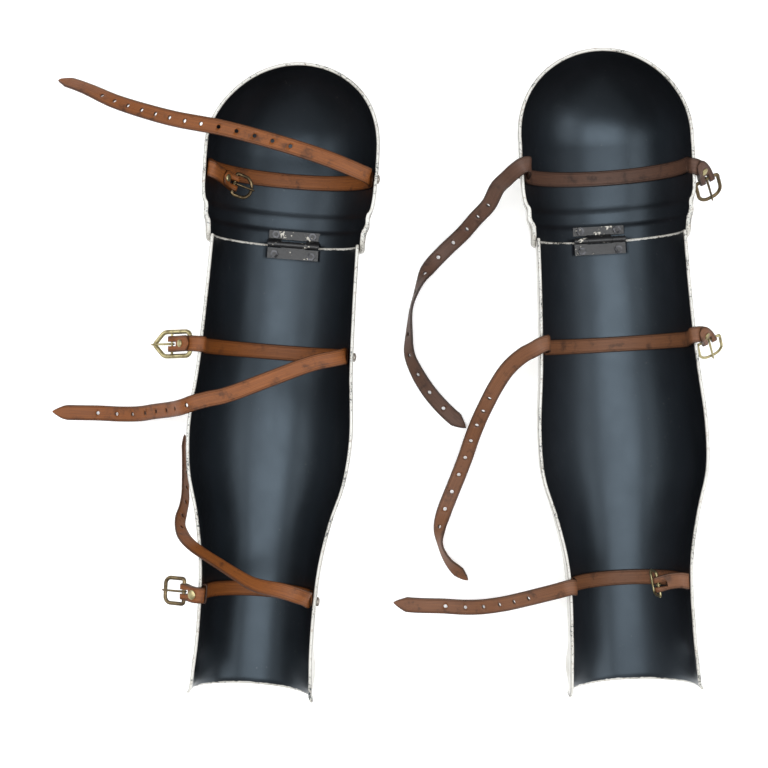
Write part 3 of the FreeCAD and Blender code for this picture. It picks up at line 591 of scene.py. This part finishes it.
def swept_strap(name, side, line, across, width=STRAP_WIDE, thick=STRAP_THICK, shape=None):
    """An oval section on a line: across * w/2 * c + normal * t/2 * s.

    c and s are cosine and sine drawn out to a flat oval, sign * |cos| ** 0.3, and
    shape gives the share of the full width at each distance along the line.
    """
    run = unit(np.gradient(line, axis=0))
    across = unit(across - run * (across * run).sum(-1, keepdims=True))
    normal = np.cross(run, across)
    steps = np.linalg.norm(np.diff(line, axis=0), axis=1)
    length = np.concatenate([[0], np.cumsum(steps)])
    share = np.ones(len(line)) if shape is None else shape(length, length[-1])
    turn = np.linspace(0, 2 * math.pi, 36, endpoint=False)
    c = np.sign(np.cos(turn)) * np.abs(np.cos(turn)) ** 0.22
    s = np.sign(np.sin(turn)) * np.abs(np.sin(turn)) ** 0.55
    body = (line[:, None] + across[:, None] * (width / 2 * share[:, None] * c)[..., None]
            + normal[:, None] * (thick / 2 * np.minimum(share * 3, 1)[:, None] * s)[..., None])
    tips = [np.repeat(line[k][None, None], len(turn), 1) for k in (0, -1)]
    rings = np.concatenate([tips[0], body, tips[1]])
    far = np.concatenate([length[:1], length, length[-1:]]) * MM
    uvs = np.stack([np.repeat(far[:, None], len(turn), 1),
                    np.repeat((0.5 + 0.5 * c)[None], len(far), 0)], -1)
    return make_piece(name, to_frame(side, rings.reshape(-1, 3)),
                      grid_faces(len(far), len(turn), wrap=True), uvs=uvs.reshape(-1, 2))


def pointed(length, total):
    """Full width, then a blunt point over the last 13 mm; the first 2 mm are rounded."""
    tip = np.clip((total - length) / 13.0, 0, 1) ** 0.75
    start = np.sqrt(np.clip(length / 2.0, 0.02, 1))
    return np.maximum(np.minimum(tip, start), 0.03)


def round_ends(length, total):
    """Full width with both ends rounded over 5 mm."""
    near = np.minimum(length, total - length) / 5.0
    return np.sqrt(np.clip(1 - (1 - np.clip(near, 0, 1)) ** 2, 0.01, 1))


# %% Punching holes
PUNCH_SIDES = 18


def punch(piece, side, centres, directions, radius):
    """Round holes through a strap: thin cylinders taken away from it."""
    ring = np.linspace(0, 2 * math.pi, PUNCH_SIDES, endpoint=False)
    points = []
    faces = []
    for centre, axis in zip(centres, directions):
        a = unit(np.cross(axis, (0.31, 0.22, 0.93)))
        b = np.cross(axis, a)
        circle = centre + radius * (np.cos(ring)[:, None] * a + np.sin(ring)[:, None] * b)
        base = sum(len(p) for p in points)
        points += [circle - 4 * axis, circle + 4 * axis]
        k = np.arange(PUNCH_SIDES)
        n = (k + 1) % PUNCH_SIDES
        top = base + PUNCH_SIDES
        faces += np.stack([base + k, base + n, top + n, top + k], -1).tolist()
        faces += [(base + k[::-1]).tolist(), (top + k).tolist()]
    mesh = bpy.data.meshes.new("punch")
    mesh.from_pydata(to_frame(side, np.concatenate(points)).tolist(), [], faces)
    cutter = bpy.data.objects.new("punch", mesh)
    bpy.context.scene.collection.objects.link(cutter)
    carve(piece, cutter)


def carve(piece, cutter):
    """Takes the cutter away from the piece for good, and removes the cutter."""
    bm = bmesh.new()
    bm.from_mesh(cutter.data)
    bmesh.ops.recalc_face_normals(bm, faces=bm.faces)
    bm.to_mesh(cutter.data)
    bm.free()
    modifier = piece.modifiers.new("carve", "BOOLEAN")
    modifier.operation = "DIFFERENCE"
    modifier.solver = "EXACT"
    modifier.use_self = True
    modifier.object = cutter
    bpy.context.view_layer.update()
    graph = bpy.context.evaluated_depsgraph_get()
    mesh = bpy.data.meshes.new_from_object(piece.evaluated_get(graph))
    piece.modifiers.clear()
    old = piece.data
    piece.data = mesh
    bpy.data.meshes.remove(old)
    bpy.data.objects.remove(cutter)
    mesh.polygons.foreach_set("use_smooth", np.ones(len(mesh.polygons), bool))


print("strap helpers ready")

# %% [markdown]
# Six loose ends lie where they fell. Each leaves its rivet flat against the
# inside of the wall, comes over the edge and then follows its own curve down to
# the floor. The points are the same ones the solid frame uses, but for the left
# ankle's, which is turned further on edge here than the solid is.

# %% The loose ends
LEVEL = (0, -1, 0)
TAILS = {
    "left_knee": [
        (74.2, 64, 71, 0, LEVEL), (74.2, 64, 82, 0, LEVEL), (73, 65, 90, 0), (66, 67, 94.5, 0),
        (51, 72, 96, 0), (31, 78, 96, 0), (-2, 86, 96, 0), (-41, 94, 95, 0), (-70, 99, 93, 0),
        (-86, 101, 90, 0), (-111, 105, 80, 0), (-143, 113, 62, 8), (-179, 124, 42, 20),
        (-210, 137, 23, 35), (-231, 144, 11, 40), (-242, 146, 7, 40)],
    "left_calf": [
        (64.5, -105, 66, 0, LEVEL), (64.5, -105, 80, 0, LEVEL), (63, -106.5, 90, 0),
        (55, -109, 95.5, 0), (38, -114, 97, 0), (-4, -133, 96, 0), (-46, -152, 94, 0),
        (-60, -156, 94, 0), (-74, -161, 95, 0), (-83, -165, 90, 0), (-97, -169, 67, 0),
        (-116, -173, 42, 0), (-134, -177, 22, 0), (-153, -179, 9, 0), (-178, -180, 3, 0),
        (-212, -182, 1.6, 0), (-223, -182, 1.6, 0)],
    "left_ankle": [
        (48.8, -339, 60, 0, LEVEL), (48.8, -339, 76, 0, LEVEL), (46.5, -336, 88, 0),
        (39, -333, 94.5, 0), (27, -330, 96, 14), (-4, -325, 96, 42), (-21, -317, 96, 54),
        (-36, -309, 96, 58), (-51, -301, 96, 60), (-62, -295, 93.5, 60), (-71.5, -289, 83, 60),
        (-77, -283, 71, 60), (-80.5, -275, 60, 62), (-80, -265, 49, 66), (-80, -254, 39, 70),
        (-82, -241, 29.5, 75), (-84, -228, 21, 75), (-86, -214, 14.5, 75), (-89, -194, 9, 75)],
    "right_knee": [
        (-74.2, 64, 71, 0, LEVEL), (-74.2, 64, 84, 0, LEVEL), (-73.6, 66, 93, 0, LEVEL),
        (-75.5, 68, 99.5, 0), (-81, 67, 101.5, 0), (-88, 63, 97.5, 0), (-96, 57, 87, 0),
        (-103.4, 51.3, 72, 0), (-111.6, 37.4, 51, 0), (-123.7, 26.5, 31, 0), (-135.8, 14.7, 15, 0),
        (-156, -2.1, 6, 0), (-171.2, -16.9, 6, 20), (-179.4, -28.8, 8.5, 60),
        (-185.5, -41.7, 9, 80), (-190.7, -55.7, 9, 85), (-194, -78.6, 8.5, 70),
        (-195.2, -100.6, 7.5, 50), (-189.5, -117.7, 6.5, 35), (-178.7, -137.8, 5, 20),
        (-164.9, -156, 3.6, 10), (-152.1, -169.2, 2.2, 0), (-143.2, -177.3, 1.8, 0)],
    "right_calf": [
        (-65.4, -101, 66, 0, LEVEL), (-65.4, -101, 82, 0, LEVEL), (-65.1, -100, 92, 0, LEVEL),
        (-67.2, -99.5, 98.5, 0, LEVEL), (-73.2, -101, 101, 0), (-81, -105, 98.5, 0),
        (-89.3, -108.9, 92, 0), (-103.5, -120.7, 76, 0), (-115.7, -138.6, 56, 0),
        (-123.9, -154.5, 38, 0), (-131.1, -169.4, 25, 0), (-138.3, -186.3, 15, 0),
        (-145.5, -205.2, 8.5, 0), (-153.7, -224.1, 4.5, 0), (-162, -242, 2.4, 0),
        (-170.2, -259.9, 3.8, 15), (-175.4, -275.9, 7, 45), (-175.6, -290.9, 9, 75),
        (-169.8, -305.9, 9, 65), (-161.9, -316, 7.5, 45), (-150, -328.2, 6, 30)],
    "right_ankle": [
        (-51.6, -332, 60, 0, LEVEL), (-51.6, -332, 76, 0, LEVEL), (-53, -331, 84, 0, LEVEL),
        (-56.8, -330, 87.2, 0), (-62.3, -331, 87.2, 0), (-70, -333.5, 82, 0), (-83.1, -338, 69, 0),
        (-102.2, -344.8, 48, 0), (-120.3, -350.6, 28, 0), (-140.3, -354.3, 12, 0),
        (-156.3, -354.6, 5, 0), (-174.3, -352.9, 2, 0), (-210.3, -349.5, 1.6, 0),
        (-225.2, -346.3, 1.6, 0)],
}
# Distance of the first hole from the tip, spacing and number of holes.
HOLES = {"left_knee": (60, 17.5, 13), "left_calf": (46, 20, 8), "left_ankle": (40, 17, 5),
         "right_knee": (30, 21, 13), "right_calf": (64, 18.5, 9), "right_ankle": (52, 20, 6)}
STRAP_LEATHER = {"left_knee": TAN, "left_calf": TAN, "left_ankle": TAN,
                 "right_knee": BROWN, "right_calf": AGED, "right_ankle": AGED}


def shell_body(name):
    side, place = name.split("_")
    return side + ("_cup" if place == "knee" else "_shin")


def loose_end(name):
    side = name.split("_")[0]
    line, across = strap_line(TAILS[name])
    piece = swept_strap(name + "_loose_end", side, line, across, shape=pointed)
    run = unit(np.gradient(line, axis=0))
    normal = unit(np.cross(run, across))
    length = np.concatenate([[0], np.cumsum(np.linalg.norm(np.diff(line, axis=0), axis=1))])
    first, spacing, count = HOLES[name]
    at = length[-1] - first - spacing * np.arange(count)
    centres = np.stack([np.interp(at, length, line[:, k]) for k in range(3)], -1)
    facing = unit(np.stack([np.interp(at, length, normal[:, k]) for k in range(3)], -1))
    punch(piece, side, centres, facing, 1.9)
    print(name, "loose end", round(length[-1]), "mm,", count, "holes")
    piece.data.materials.clear()
    piece.data.materials.append(STRAP_LEATHER[name])
    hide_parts(name + "_billet")
    return piece


# The right knee strap crosses the joint: its far end lies beside the shin shell.
for tail_name in TAILS:
    tail = loose_end(tail_name)
    if tail_name == "right_knee":
        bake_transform(tail)
    else:
        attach(tail, shell_body(tail_name))

# %% [markdown]
# Each buckle strap starts at its rivet, follows the hollow of the trough to the
# other wall and ends in a buckle. The end is doubled back round the buckle's bar
# and riveted, with a slot where the prong turns. A buckle has axes of its own:
# x towards the tip of the frame, y along the bar, z up out of the leather.

# %% Where the buckle straps run
BELTS = {
    "left_knee": (77.8, 82.8, 64), "left_calf": (67.3, 73.8, -106),
    "left_ankle": (51.6, 56.6, -341), "right_knee": (77.8, 82.8, 62),
    "right_calf": (68.2, 74.7, -103), "right_ankle": (54.4, 59.4, -334),
}
ALONG = (0, 1, 0)
HALF_TURNED = (0.3, 1, 0)
TURNED = (0.8, 0.8, 0)
ENDS = {
    "left_knee": [(-77.3, 62, 80, 0, ALONG), (-76.4, 61, 84.5, 0, ALONG),
                  (-73.5, 60, 86.5, 0, ALONG), (-70, 58.5, 84, 0, ALONG),
                  (-63, 55, 73, 0, ALONG)],
    "left_calf": [(-67.3, -106, 82, 0, ALONG), (-67, -105.5, 88.4, 0, ALONG),
                  (-68.3, -105, 92.2, 0, ALONG), (-72, -105, 93.6, 0, ALONG),
                  (-76, -105, 92.8, 0, ALONG), (-79.5, -105, 90, 0, ALONG),
                  (-83.4, -105.2, 86.4, 0, ALONG), (-87.3, -105.6, 82.9, 0, ALONG),
                  (-93, -106.3, 76.7, 0, ALONG)],
    "left_ankle": [(-51.6, -341, 70, 0, ALONG), (-51.4, -341, 80, 0, ALONG),
                   (-52.4, -341, 83.6, 0, ALONG), (-55.5, -341, 84.8, 0, ALONG),
                   (-59, -341, 83.2, 0, ALONG), (-64, -340.5, 78, 0, ALONG)],
    "right_knee": [(77.4, 61, 80, 0, ALONG), (77.1, 60, 86, 0, ALONG), (77.8, 59, 90, 0, ALONG),
                   (80.5, 58, 92, 0, ALONG), (84.5, 56.5, 90.5, 0, HALF_TURNED),
                   (89, 54, 84, 0, TURNED)],
    "right_calf": [(68.2, -102, 82, 0, ALONG), (67.9, -101, 88.4, 0, ALONG),
                   (69.2, -100, 92.4, 0, ALONG), (73.3, -99.5, 94, 0, ALONG),
                   (78, -99.5, 91.8, 0, HALF_TURNED), (82.5, -101, 84.5, 0, TURNED)],
    "right_ankle": [(54.4, -333, 70, 0, ALONG), (54.2, -332, 79, 0, ALONG),
                    (52.2, -331, 82.6, 0, ALONG), (48, -330, 83, 0, ALONG),
                    (36.5, -331, 78.6, 0, ALONG)],
}
BUCKLES = {
    "left_knee": ((-54, 51, 62), (19, -5, -13), (0, 1, 0)),
    "left_calf": ((-100, -107, 73), (-20, -2, -11), (0, -1, 0)),
    "left_ankle": ((-70, -340, 75), (-20, -1, -10), (0, -1, 0)),
    "right_knee": ((94, 47, 76), (9, -20, -22), (18, 8, 0)),
    "right_calf": ((87, -105, 77), (7, -17, -21), (17, 7, 0)),
    "right_ankle": ((27, -334, 73), (-2, 0, -20), (-0.14, 1, 0)),
}
BAR = 1.2
DOUBLED = {"left_calf": 25.0, "left_knee": 18.0}


def buckle_axes(name):
    """The middle of the bar, and the buckle's x, y and z directions as rows."""
    at, tip, bar = (np.array(v, float) for v in BUCKLES[name])
    x = unit(tip)
    y = unit(bar - x * (bar @ x))
    return at, np.array((x, y, np.cross(x, y)))


def trough_points(name):
    """The belt along the hollow: points on a circle, from wall to wall, 6 mm under its middle."""
    radius, middle, y = BELTS[name]
    start = math.asin(6 / radius)
    angle = np.linspace(start, math.pi - start, 13)
    points = [(radius * math.cos(a), y, middle - radius * math.sin(a), 0, ALONG) for a in angle]
    return points if name.startswith("left") else points[::-1]


def doubled_end(line, across, at, axes, doubled):
    """The strap goes on round the bar, half a circle, and back over itself."""
    length = np.concatenate([[0], np.cumsum(np.linalg.norm(np.diff(line, axis=0), axis=1))])
    back = length[-1] - length
    run = unit(np.gradient(line, axis=0))
    up = unit(np.cross(run, across))
    up *= np.sign(up @ axes[2])[:, None]
    over = (back > 7.0) & (back < doubled)
    top = (line + up * (STRAP_THICK + 0.15))[over][::-1]
    bend = np.radians(np.linspace(-80, 95, 15))[:, None]
    loop = at + 2.75 * (np.cos(bend) * axes[0] + np.sin(bend) * axes[2])
    y = axes[1] * np.sign(across[-1] @ axes[1])
    whole = np.concatenate([line, loop, top])
    sides = np.concatenate([across, np.repeat(y[None], 15, 0), across[over][::-1]])
    return whole, sides


def box_cutter(side, at, axes, low, high):
    """A block for carving, given in a buckle's own axes."""
    corners = np.array([[x, y, z] for x in (low[0], high[0]) for y in (low[1], high[1])
                        for z in (low[2], high[2])], float)
    mesh = bpy.data.meshes.new("slot")
    faces = [(0, 1, 3, 2), (4, 6, 7, 5), (0, 4, 5, 1), (2, 3, 7, 6), (0, 2, 6, 4), (1, 5, 7, 3)]
    mesh.from_pydata(to_frame(side, at + corners @ axes).tolist(), [], faces)
    cutter = bpy.data.objects.new("slot", mesh)
    bpy.context.scene.collection.objects.link(cutter)
    return cutter


PERCHES = {}


def buckle_strap(name):
    side = name.split("_")[0]
    at, axes = buckle_axes(name)
    last = at - 1.5 * axes[0] - 2.6 * axes[2]
    y = axes[1] * (1 if axes[1][1] > 0 else -1)
    points = trough_points(name) + ENDS[name] + [tuple(last) + (0, tuple(y))]
    line, across = strap_line(points)
    run = unit(np.gradient(line, axis=0))
    up = unit(np.cross(run, across))
    up *= np.sign(up @ axes[2])[:, None]
    back = np.linalg.norm(np.diff(line, axis=0), axis=1)[::-1].cumsum()[::-1]
    PERCHES[name] = (line[:-1], run[:-1], across[:-1], up[:-1], back)
    whole, sides = doubled_end(line, across, at, axes, DOUBLED.get(name, 22.0))
    piece = swept_strap(name + "_band", side, whole, sides, shape=round_ends)
    carve(piece, box_cutter(side, at, axes, (-7, -2.2, -7), (7, 2.2, 7)))
    slot_name = "dark_leather" if name == "right_knee" else "leather"
    print(name, "band", len(piece.data.polygons), "faces")
    return dress(piece, shell_body(name), STRAP_LEATHER[name], slot_name, name + "_buckle_strap")


for strap_name in BELTS:
    buckle_strap(strap_name)

# %% [markdown]
# Brass that has been handled for decades is bright only where it rubs. In the
# hollows it goes brown, and two of the buckles are dark all over.

# %% Metals
def old_metal(name, bright, dull, rough):
    paint = Paint(name)
    where = paint.place()
    cloud = paint.noise(where, 120.0, 5.0, 0.65)
    grain = paint.noise(where, 1400.0, 3.0, 0.6)
    tarnish = cloud.ramp(0.42, 0.66)
    paint.set(Base_Color=paint.mix(tarnish, bright, dull))
    paint.set(Roughness=rough + tarnish * 0.22 + (grain - 0.5) * 0.12)
    paint.shader.inputs["Metallic"].default_value = 1.0
    paint.bump(grain * 0.5 + cloud, 0.3, 0.0004)
    return paint.material


BRASS = old_metal("brass_aged", (0.40, 0.35, 0.19), (0.20, 0.16, 0.08), 0.36)
BRONZE = old_metal("brass_dark", (0.15, 0.11, 0.06), (0.055, 0.04, 0.026), 0.36)
RIVET = old_metal("rivet_dull", (0.34, 0.31, 0.28), (0.12, 0.10, 0.09), 0.42)


def hinge_paint():
    """Black paint over steel, rubbed at random, with drips of the shell's cream paint."""
    paint = Paint("hinge_black")
    where = paint.place()
    fine = paint.noise(where, 420.0, 5.0, 0.65)
    broad = paint.noise(where, 75.0, 4.0, 0.6)
    drips = (broad * 0.7 + fine * 0.4).ramp(0.635, 0.66)
    rust = fine.ramp(0.60, 0.70) * 0.6
    black = paint.mix(rust, (0.011, 0.011, 0.012), (0.035, 0.024, 0.018))
    paint.set(Base_Color=paint.mix(drips, black, (0.60, 0.57, 0.50)))
    paint.set(Roughness=0.42 + (fine - 0.5) * 0.3)
    paint.bump(fine * 0.6 + drips, 0.5, 0.0005)
    return paint.material


HINGE = hinge_paint()
NUT = old_metal("nut_black", (0.075, 0.075, 0.08), (0.03, 0.03, 0.032), 0.38)
for side in SIDES:
    for node in ("hinge_leaf_upper", "hinge_leaf_lower", "hinge_pin", "hinge_bolts_upper",
                 "hinge_bolts_lower", "hinge_nuts_upper", "hinge_nuts_lower"):
        solid = frame["nodes"][side + "_" + node]
        solid.data.materials.clear()
        solid.data.materials.append(NUT if "nuts" in node else HINGE)
print("metals ready, hinges painted")


# %% Round bars along a line
def tube(line, radius, up=(0, 0, 1), closed=False, flat=1.0):
    """A round section carried along a line; radius may change, flat squeezes it along up.

    Each ring is centre + radius * (a * cos + b * sin), a and b at right angles to the run.
    """
    line = np.asarray(line, float)
    if closed:
        run = unit(np.roll(line, -1, 0) - np.roll(line, 1, 0))
    else:
        run = unit(np.gradient(line, axis=0))
    up = np.asarray(up, float)
    a = unit(np.cross(up, run))
    b = np.cross(run, a)
    turn = np.linspace(0, 2 * math.pi, 20, endpoint=False)[None, :, None]
    size = np.broadcast_to(np.asarray(radius, float), (len(line),))[:, None, None]
    rings = line[:, None] + size * (a[:, None] * np.cos(turn) + flat * b[:, None] * np.sin(turn))
    if closed:
        rings = np.concatenate([rings, rings[:1]])
    else:
        ends = [np.repeat(line[k][None, None], 20, 1) for k in (0, -1)]
        rings = np.concatenate([ends[0], rings, ends[1]])
    return rings.reshape(-1, 3), grid_faces(len(rings), 20, wrap=True)


def join(parts):
    """Several point and face sets as one."""
    points = []
    faces = []
    base = 0
    for p, f in parts:
        points.append(p)
        faces.append(f + base)
        base += len(p)
    return np.concatenate(points), np.concatenate(faces)


def rounded_path(corners, radii, steps=9):
    """A closed path with an arc at each corner, from its tangent points."""
    corners = np.array(corners, float)
    pieces = []
    for k, corner in enumerate(corners):
        before = unit(corners[k - 1] - corner)
        after = unit(corners[(k + 1) % len(corners)] - corner)
        half = math.acos(np.clip(before @ after, -1, 1)) / 2
        cut = radii[k] / math.tan(half)
        centre = corner + unit(before + after) * radii[k] / math.sin(half)
        start = corner + before * cut - centre
        stop = corner + after * cut - centre
        sweep = math.acos(np.clip(unit(start) @ unit(stop), -1, 1))
        u = np.linspace(0, 1, steps)[:, None]
        pieces.append(centre + (np.sin((1 - u) * sweep) * start + np.sin(u * sweep) * stop)
                      / math.sin(sweep))
    flat = np.concatenate(pieces)
    return np.column_stack([flat, np.zeros(len(flat))])


def four_cornered(length, half, heel, toe, wire):
    """Corner points and radii of a frame, in the buckle's own x and y, and its wire."""
    corners = [(0, -half), (length, -half), (length, half), (0, half)]
    return corners, (heel, toe, toe, heel), wire


FRAMES = {
    "left_knee": four_cornered(19.3, 10.3, 2, 9.8, 1.7),
    "left_calf": ([(-21, -11.4), (9, -11.6), (20.5, 0), (9, 11.6), (-21, 11.4)],
                  (5, 9, 2.5, 9, 5), 2.2),
    "left_ankle": four_cornered(21, 12, 2.5, 6, 1.9),
    "right_knee": four_cornered(24, 11.5, 2.5, 9, 1.8),
    "right_calf": four_cornered(24, 11.5, 2.5, 9, 1.4),
    "right_ankle": four_cornered(22, 12, 2.5, 5, 1.4),
}
DARK = ("left_knee", "left_ankle", "right_knee")


def buckle(name):
    side = name.split("_")[0]
    at, axes = buckle_axes(name)
    corners, radii, wire = FRAMES[name]
    metal, slot_name = (BRONZE, "dark_brass") if name in DARK else (BRASS, "brass")
    half = abs(corners[0][1])
    bar_line = np.column_stack([np.zeros(12), np.linspace(-half, half, 12), np.zeros(12)])
    points, faces = join([tube(rounded_path(corners, radii), wire, closed=True, flat=0.85),
                          tube(bar_line, BAR)])
    ring = make_piece(name + "_buckle", to_frame(side, at + points @ axes), faces)
    dress(ring, name + "_frame", metal, slot_name, name + "_buckle_frame")

    tip = max(c[0] for c in corners)
    x = np.linspace(1.4, tip + 2.2, 30)
    rise = 0.9 + 1.75 * np.sin(np.clip(x / tip, 0, 1) * math.pi / 2)
    shank = np.column_stack([x, 0 * x, rise])
    taper = np.interp(x, (1.4, tip, tip + 2.2), (1.15, 0.95, 0.55))
    turn = np.linspace(0, 2 * math.pi, 28, endpoint=False)
    eye = np.column_stack([2.05 * np.cos(turn), 0 * turn, 2.05 * np.sin(turn)])
    points, faces = join([tube(shank, taper, up=(0, 1, 0)),
                          tube(eye, 0.8, up=(0, 1, 0), closed=True)])
    pin = make_piece(name + "_prong", to_frame(side, at + points @ axes), faces)
    dress(pin, name + "_prong", metal, slot_name, name + "_buckle_prong")


for buckle_name in FRAMES:
    buckle(buckle_name)
print("buckles:", len(FRAMES))

# %% [markdown]
# Rivets are turned shapes: a profile of radius and height, spun round its axis.
# A domed one closes each strap's doubled end, and a bigger one outside the wall
# holds the strap and the loose end together, with a small washer inside.


# %% Rivets and the keeper loop
def turned(at, axis, profile):
    """A profile of (radius, height) pairs spun round an axis that starts at a point."""
    axis = unit(np.asarray(axis, float))
    a = unit(np.cross(axis, (0.3, 0.5, 0.81)))
    b = np.cross(axis, a)
    turn = np.linspace(0, 2 * math.pi, 28, endpoint=False)[None, :, None]
    radius = np.array([p[0] for p in profile], float)[:, None, None]
    height = np.array([p[1] for p in profile], float)[:, None, None]
    points = np.asarray(at, float) + radius * (a * np.cos(turn) + b * np.sin(turn)) + height * axis
    return points.reshape(-1, 3), grid_faces(len(profile), 28, wrap=True)


def dome(radius, height, steps=9):
    """A low dome with a short straight foot."""
    u = np.linspace(0, math.pi / 2, steps)
    curve = [(radius * math.cos(k), 0.3 * height + 0.7 * height * math.sin(k)) for k in u[:-1]]
    return [(0, -0.4), (radius * 0.9, -0.4), (radius, 0)] + curve + [(0, height)]


WALL_RIVETS = {
    "left_knee": (82.1, 73.0, 75), "left_calf": (72.8, 63.0, 71), "left_ankle": (56.2, 47.4, 65),
    "right_knee": (82.1, 73.0, 75), "right_calf": (74, 64.0, 71), "right_ankle": (59, 50.2, 65),
}
for side in SIDES:
    out = 1 if side == "left" else -1
    for places, body, node in ((("knee",), "_cup", "_knee_wall_rivet"),
                               (("calf", "ankle"), "_shin", "_shin_wall_rivets")):
        parts = []
        for place in places:
            outer, inner, z = WALL_RIVETS[side + "_" + place]
            y = BELTS[side + "_" + place][2]
            parts.append(turned((out * outer, y, z), (out, 0, 0), dome(4.3, 2.6)))
            parts.append(turned((out * inner, y, z), (-out, 0, 0), dome(3.0, 0.8)))
        piece = make_piece(side + node + "_dome", to_frame(side, join(parts)[0]), join(parts)[1])
        dress(piece, side + body, RIVET, "rivet_steel", side + node)


def perch(name, distance):
    """Point, run, across and up on a buckle strap, a distance back from its end."""
    line, run, across, up, back = PERCHES[name]
    k = int(np.argmin(np.abs(back - distance)))
    return line[k], run[k], across[k], up[k]


for side in SIDES:
    for places, body, node in ((("knee",), "_cup", "_knee_strap_rivet"),
                               (("calf", "ankle"), "_shin", "_shin_strap_rivets")):
        parts = []
        for place in places:
            spot, _, _, up = perch(side + "_" + place, 13.0)
            size = 4.6 if (side, place) == ("left", "ankle") else 3.6
            parts.append(turned(spot + up * (STRAP_THICK * 1.5 + 0.15), up, dome(size, 1.3)))
        piece = make_piece(side + node + "_dome", to_frame(side, join(parts)[0]), join(parts)[1])
        dress(piece, side + body, BRASS, "brass", side + node)


def keeper():
    """A leather loop: a flat oval ring round the strap, 7 mm deep and 1.5 mm thick."""
    spot, run, across, up = perch("left_ankle", 33.0)
    turn = np.linspace(0, 2 * math.pi, 73)[:, None, None]
    c = np.sign(np.cos(turn)) * np.abs(np.cos(turn)) ** 0.3
    s = np.sign(np.sin(turn)) * np.abs(np.sin(turn)) ** 0.6
    ring = np.linspace(0, 2 * math.pi, 16, endpoint=False)[None, :, None]
    grow = 0.8 * np.sin(ring)
    along = 3.5 * np.sign(np.cos(ring)) * np.abs(np.cos(ring)) ** 0.4
    points = (spot + across * (8.7 + grow) * c + up * (2.4 + grow) * s + run * along)
    uvs = np.stack([turn[..., 0] * 0.004 + 0 * ring[..., 0],
                    0.5 + 0 * turn[..., 0] + 0.45 * np.cos(ring[..., 0])], -1)
    piece = make_piece("left_ankle_keeper_loop", to_frame("left", points.reshape(-1, 3)),
                       grid_faces(73, 16, wrap=True), uvs=uvs.reshape(-1, 2))
    return dress(piece, "left_shin", BROWN, "leather", "left_ankle_keeper")


keeper()
print("rivets and keeper loop made")

# %% [markdown]
# A plain pale floor, one large soft light above, and fill from the sides. The
# black inside only shows through its sheen: a wide light straight above gives
# the long soft gleam along the middle of each trough. The camera looks straight
# down from about a metre and a half.


# %% Floor, lights, camera
def floor():
    points = np.array([(-3, -3, 0), (3, -3, 0), (3, 3, 0), (-3, 3, 0)], float) - (0, 0, 0.0004)
    mesh = bpy.data.meshes.new("floor")
    mesh.from_pydata(points.tolist(), [], [(0, 1, 2, 3)])
    plane = bpy.data.objects.new("floor", mesh)
    bpy.context.scene.collection.objects.link(plane)
    paint = Paint("floor_pale")
    paint.set(Base_Color=(0.96, 0.96, 0.96))
    paint.shader.inputs["Roughness"].default_value = 0.9
    paint.shader.inputs["Emission Color"].default_value = (1, 1, 1, 1)
    paint.shader.inputs["Emission Strength"].default_value = 0.2
    mesh.materials.append(paint.material)


def area_light(name, place, aim, size, power, colour=(1, 1, 1)):
    data = bpy.data.lights.new(name, "AREA")
    data.shape = "RECTANGLE"
    data.size, data.size_y = size
    data.energy = power
    data.color = colour
    lamp = bpy.data.objects.new(name, data)
    lamp.location = place
    lamp.rotation_euler = (Vector(aim) - Vector(place)).to_track_quat("-Z", "Y").to_euler()
    bpy.context.scene.collection.objects.link(lamp)


floor()
area_light("overhead", (0.0, -0.1, 2.3), (0, -0.1, 0), (2.5, 1.3), 48, (0.97, 0.985, 1.0))
area_light("left_fill", (-2.2, 0.4, 1.6), (0, 0, 0), (1.6, 1.6), 27)
area_light("right_fill", (2.2, -0.4, 1.6), (0, 0, 0), (1.6, 1.6), 27)
world = bpy.data.worlds.new("studio")
world.use_nodes = True
world.node_tree.nodes["Background"].inputs["Color"].default_value = (1, 1, 1, 1)
world.node_tree.nodes["Background"].inputs["Strength"].default_value = 0.42
bpy.context.scene.world = world
bpy.context.scene.view_settings.view_transform = "Standard"

RIM_HEIGHT = 0.088
REACH = 1.5
SEEN_WIDTH = 0.94 * MM * 768
camera_data = bpy.data.cameras.new("camera")
camera_data.sensor_width = 36.0
camera_data.lens = 36.0 * REACH / SEEN_WIDTH
camera = bpy.data.objects.new("camera", camera_data)
camera.location = (2.66 * MM, -7.1 * MM, RIM_HEIGHT + REACH)
bpy.context.scene.collection.objects.link(camera)
bpy.context.scene.camera = camera
print("lens", round(camera_data.lens, 1), "mm")
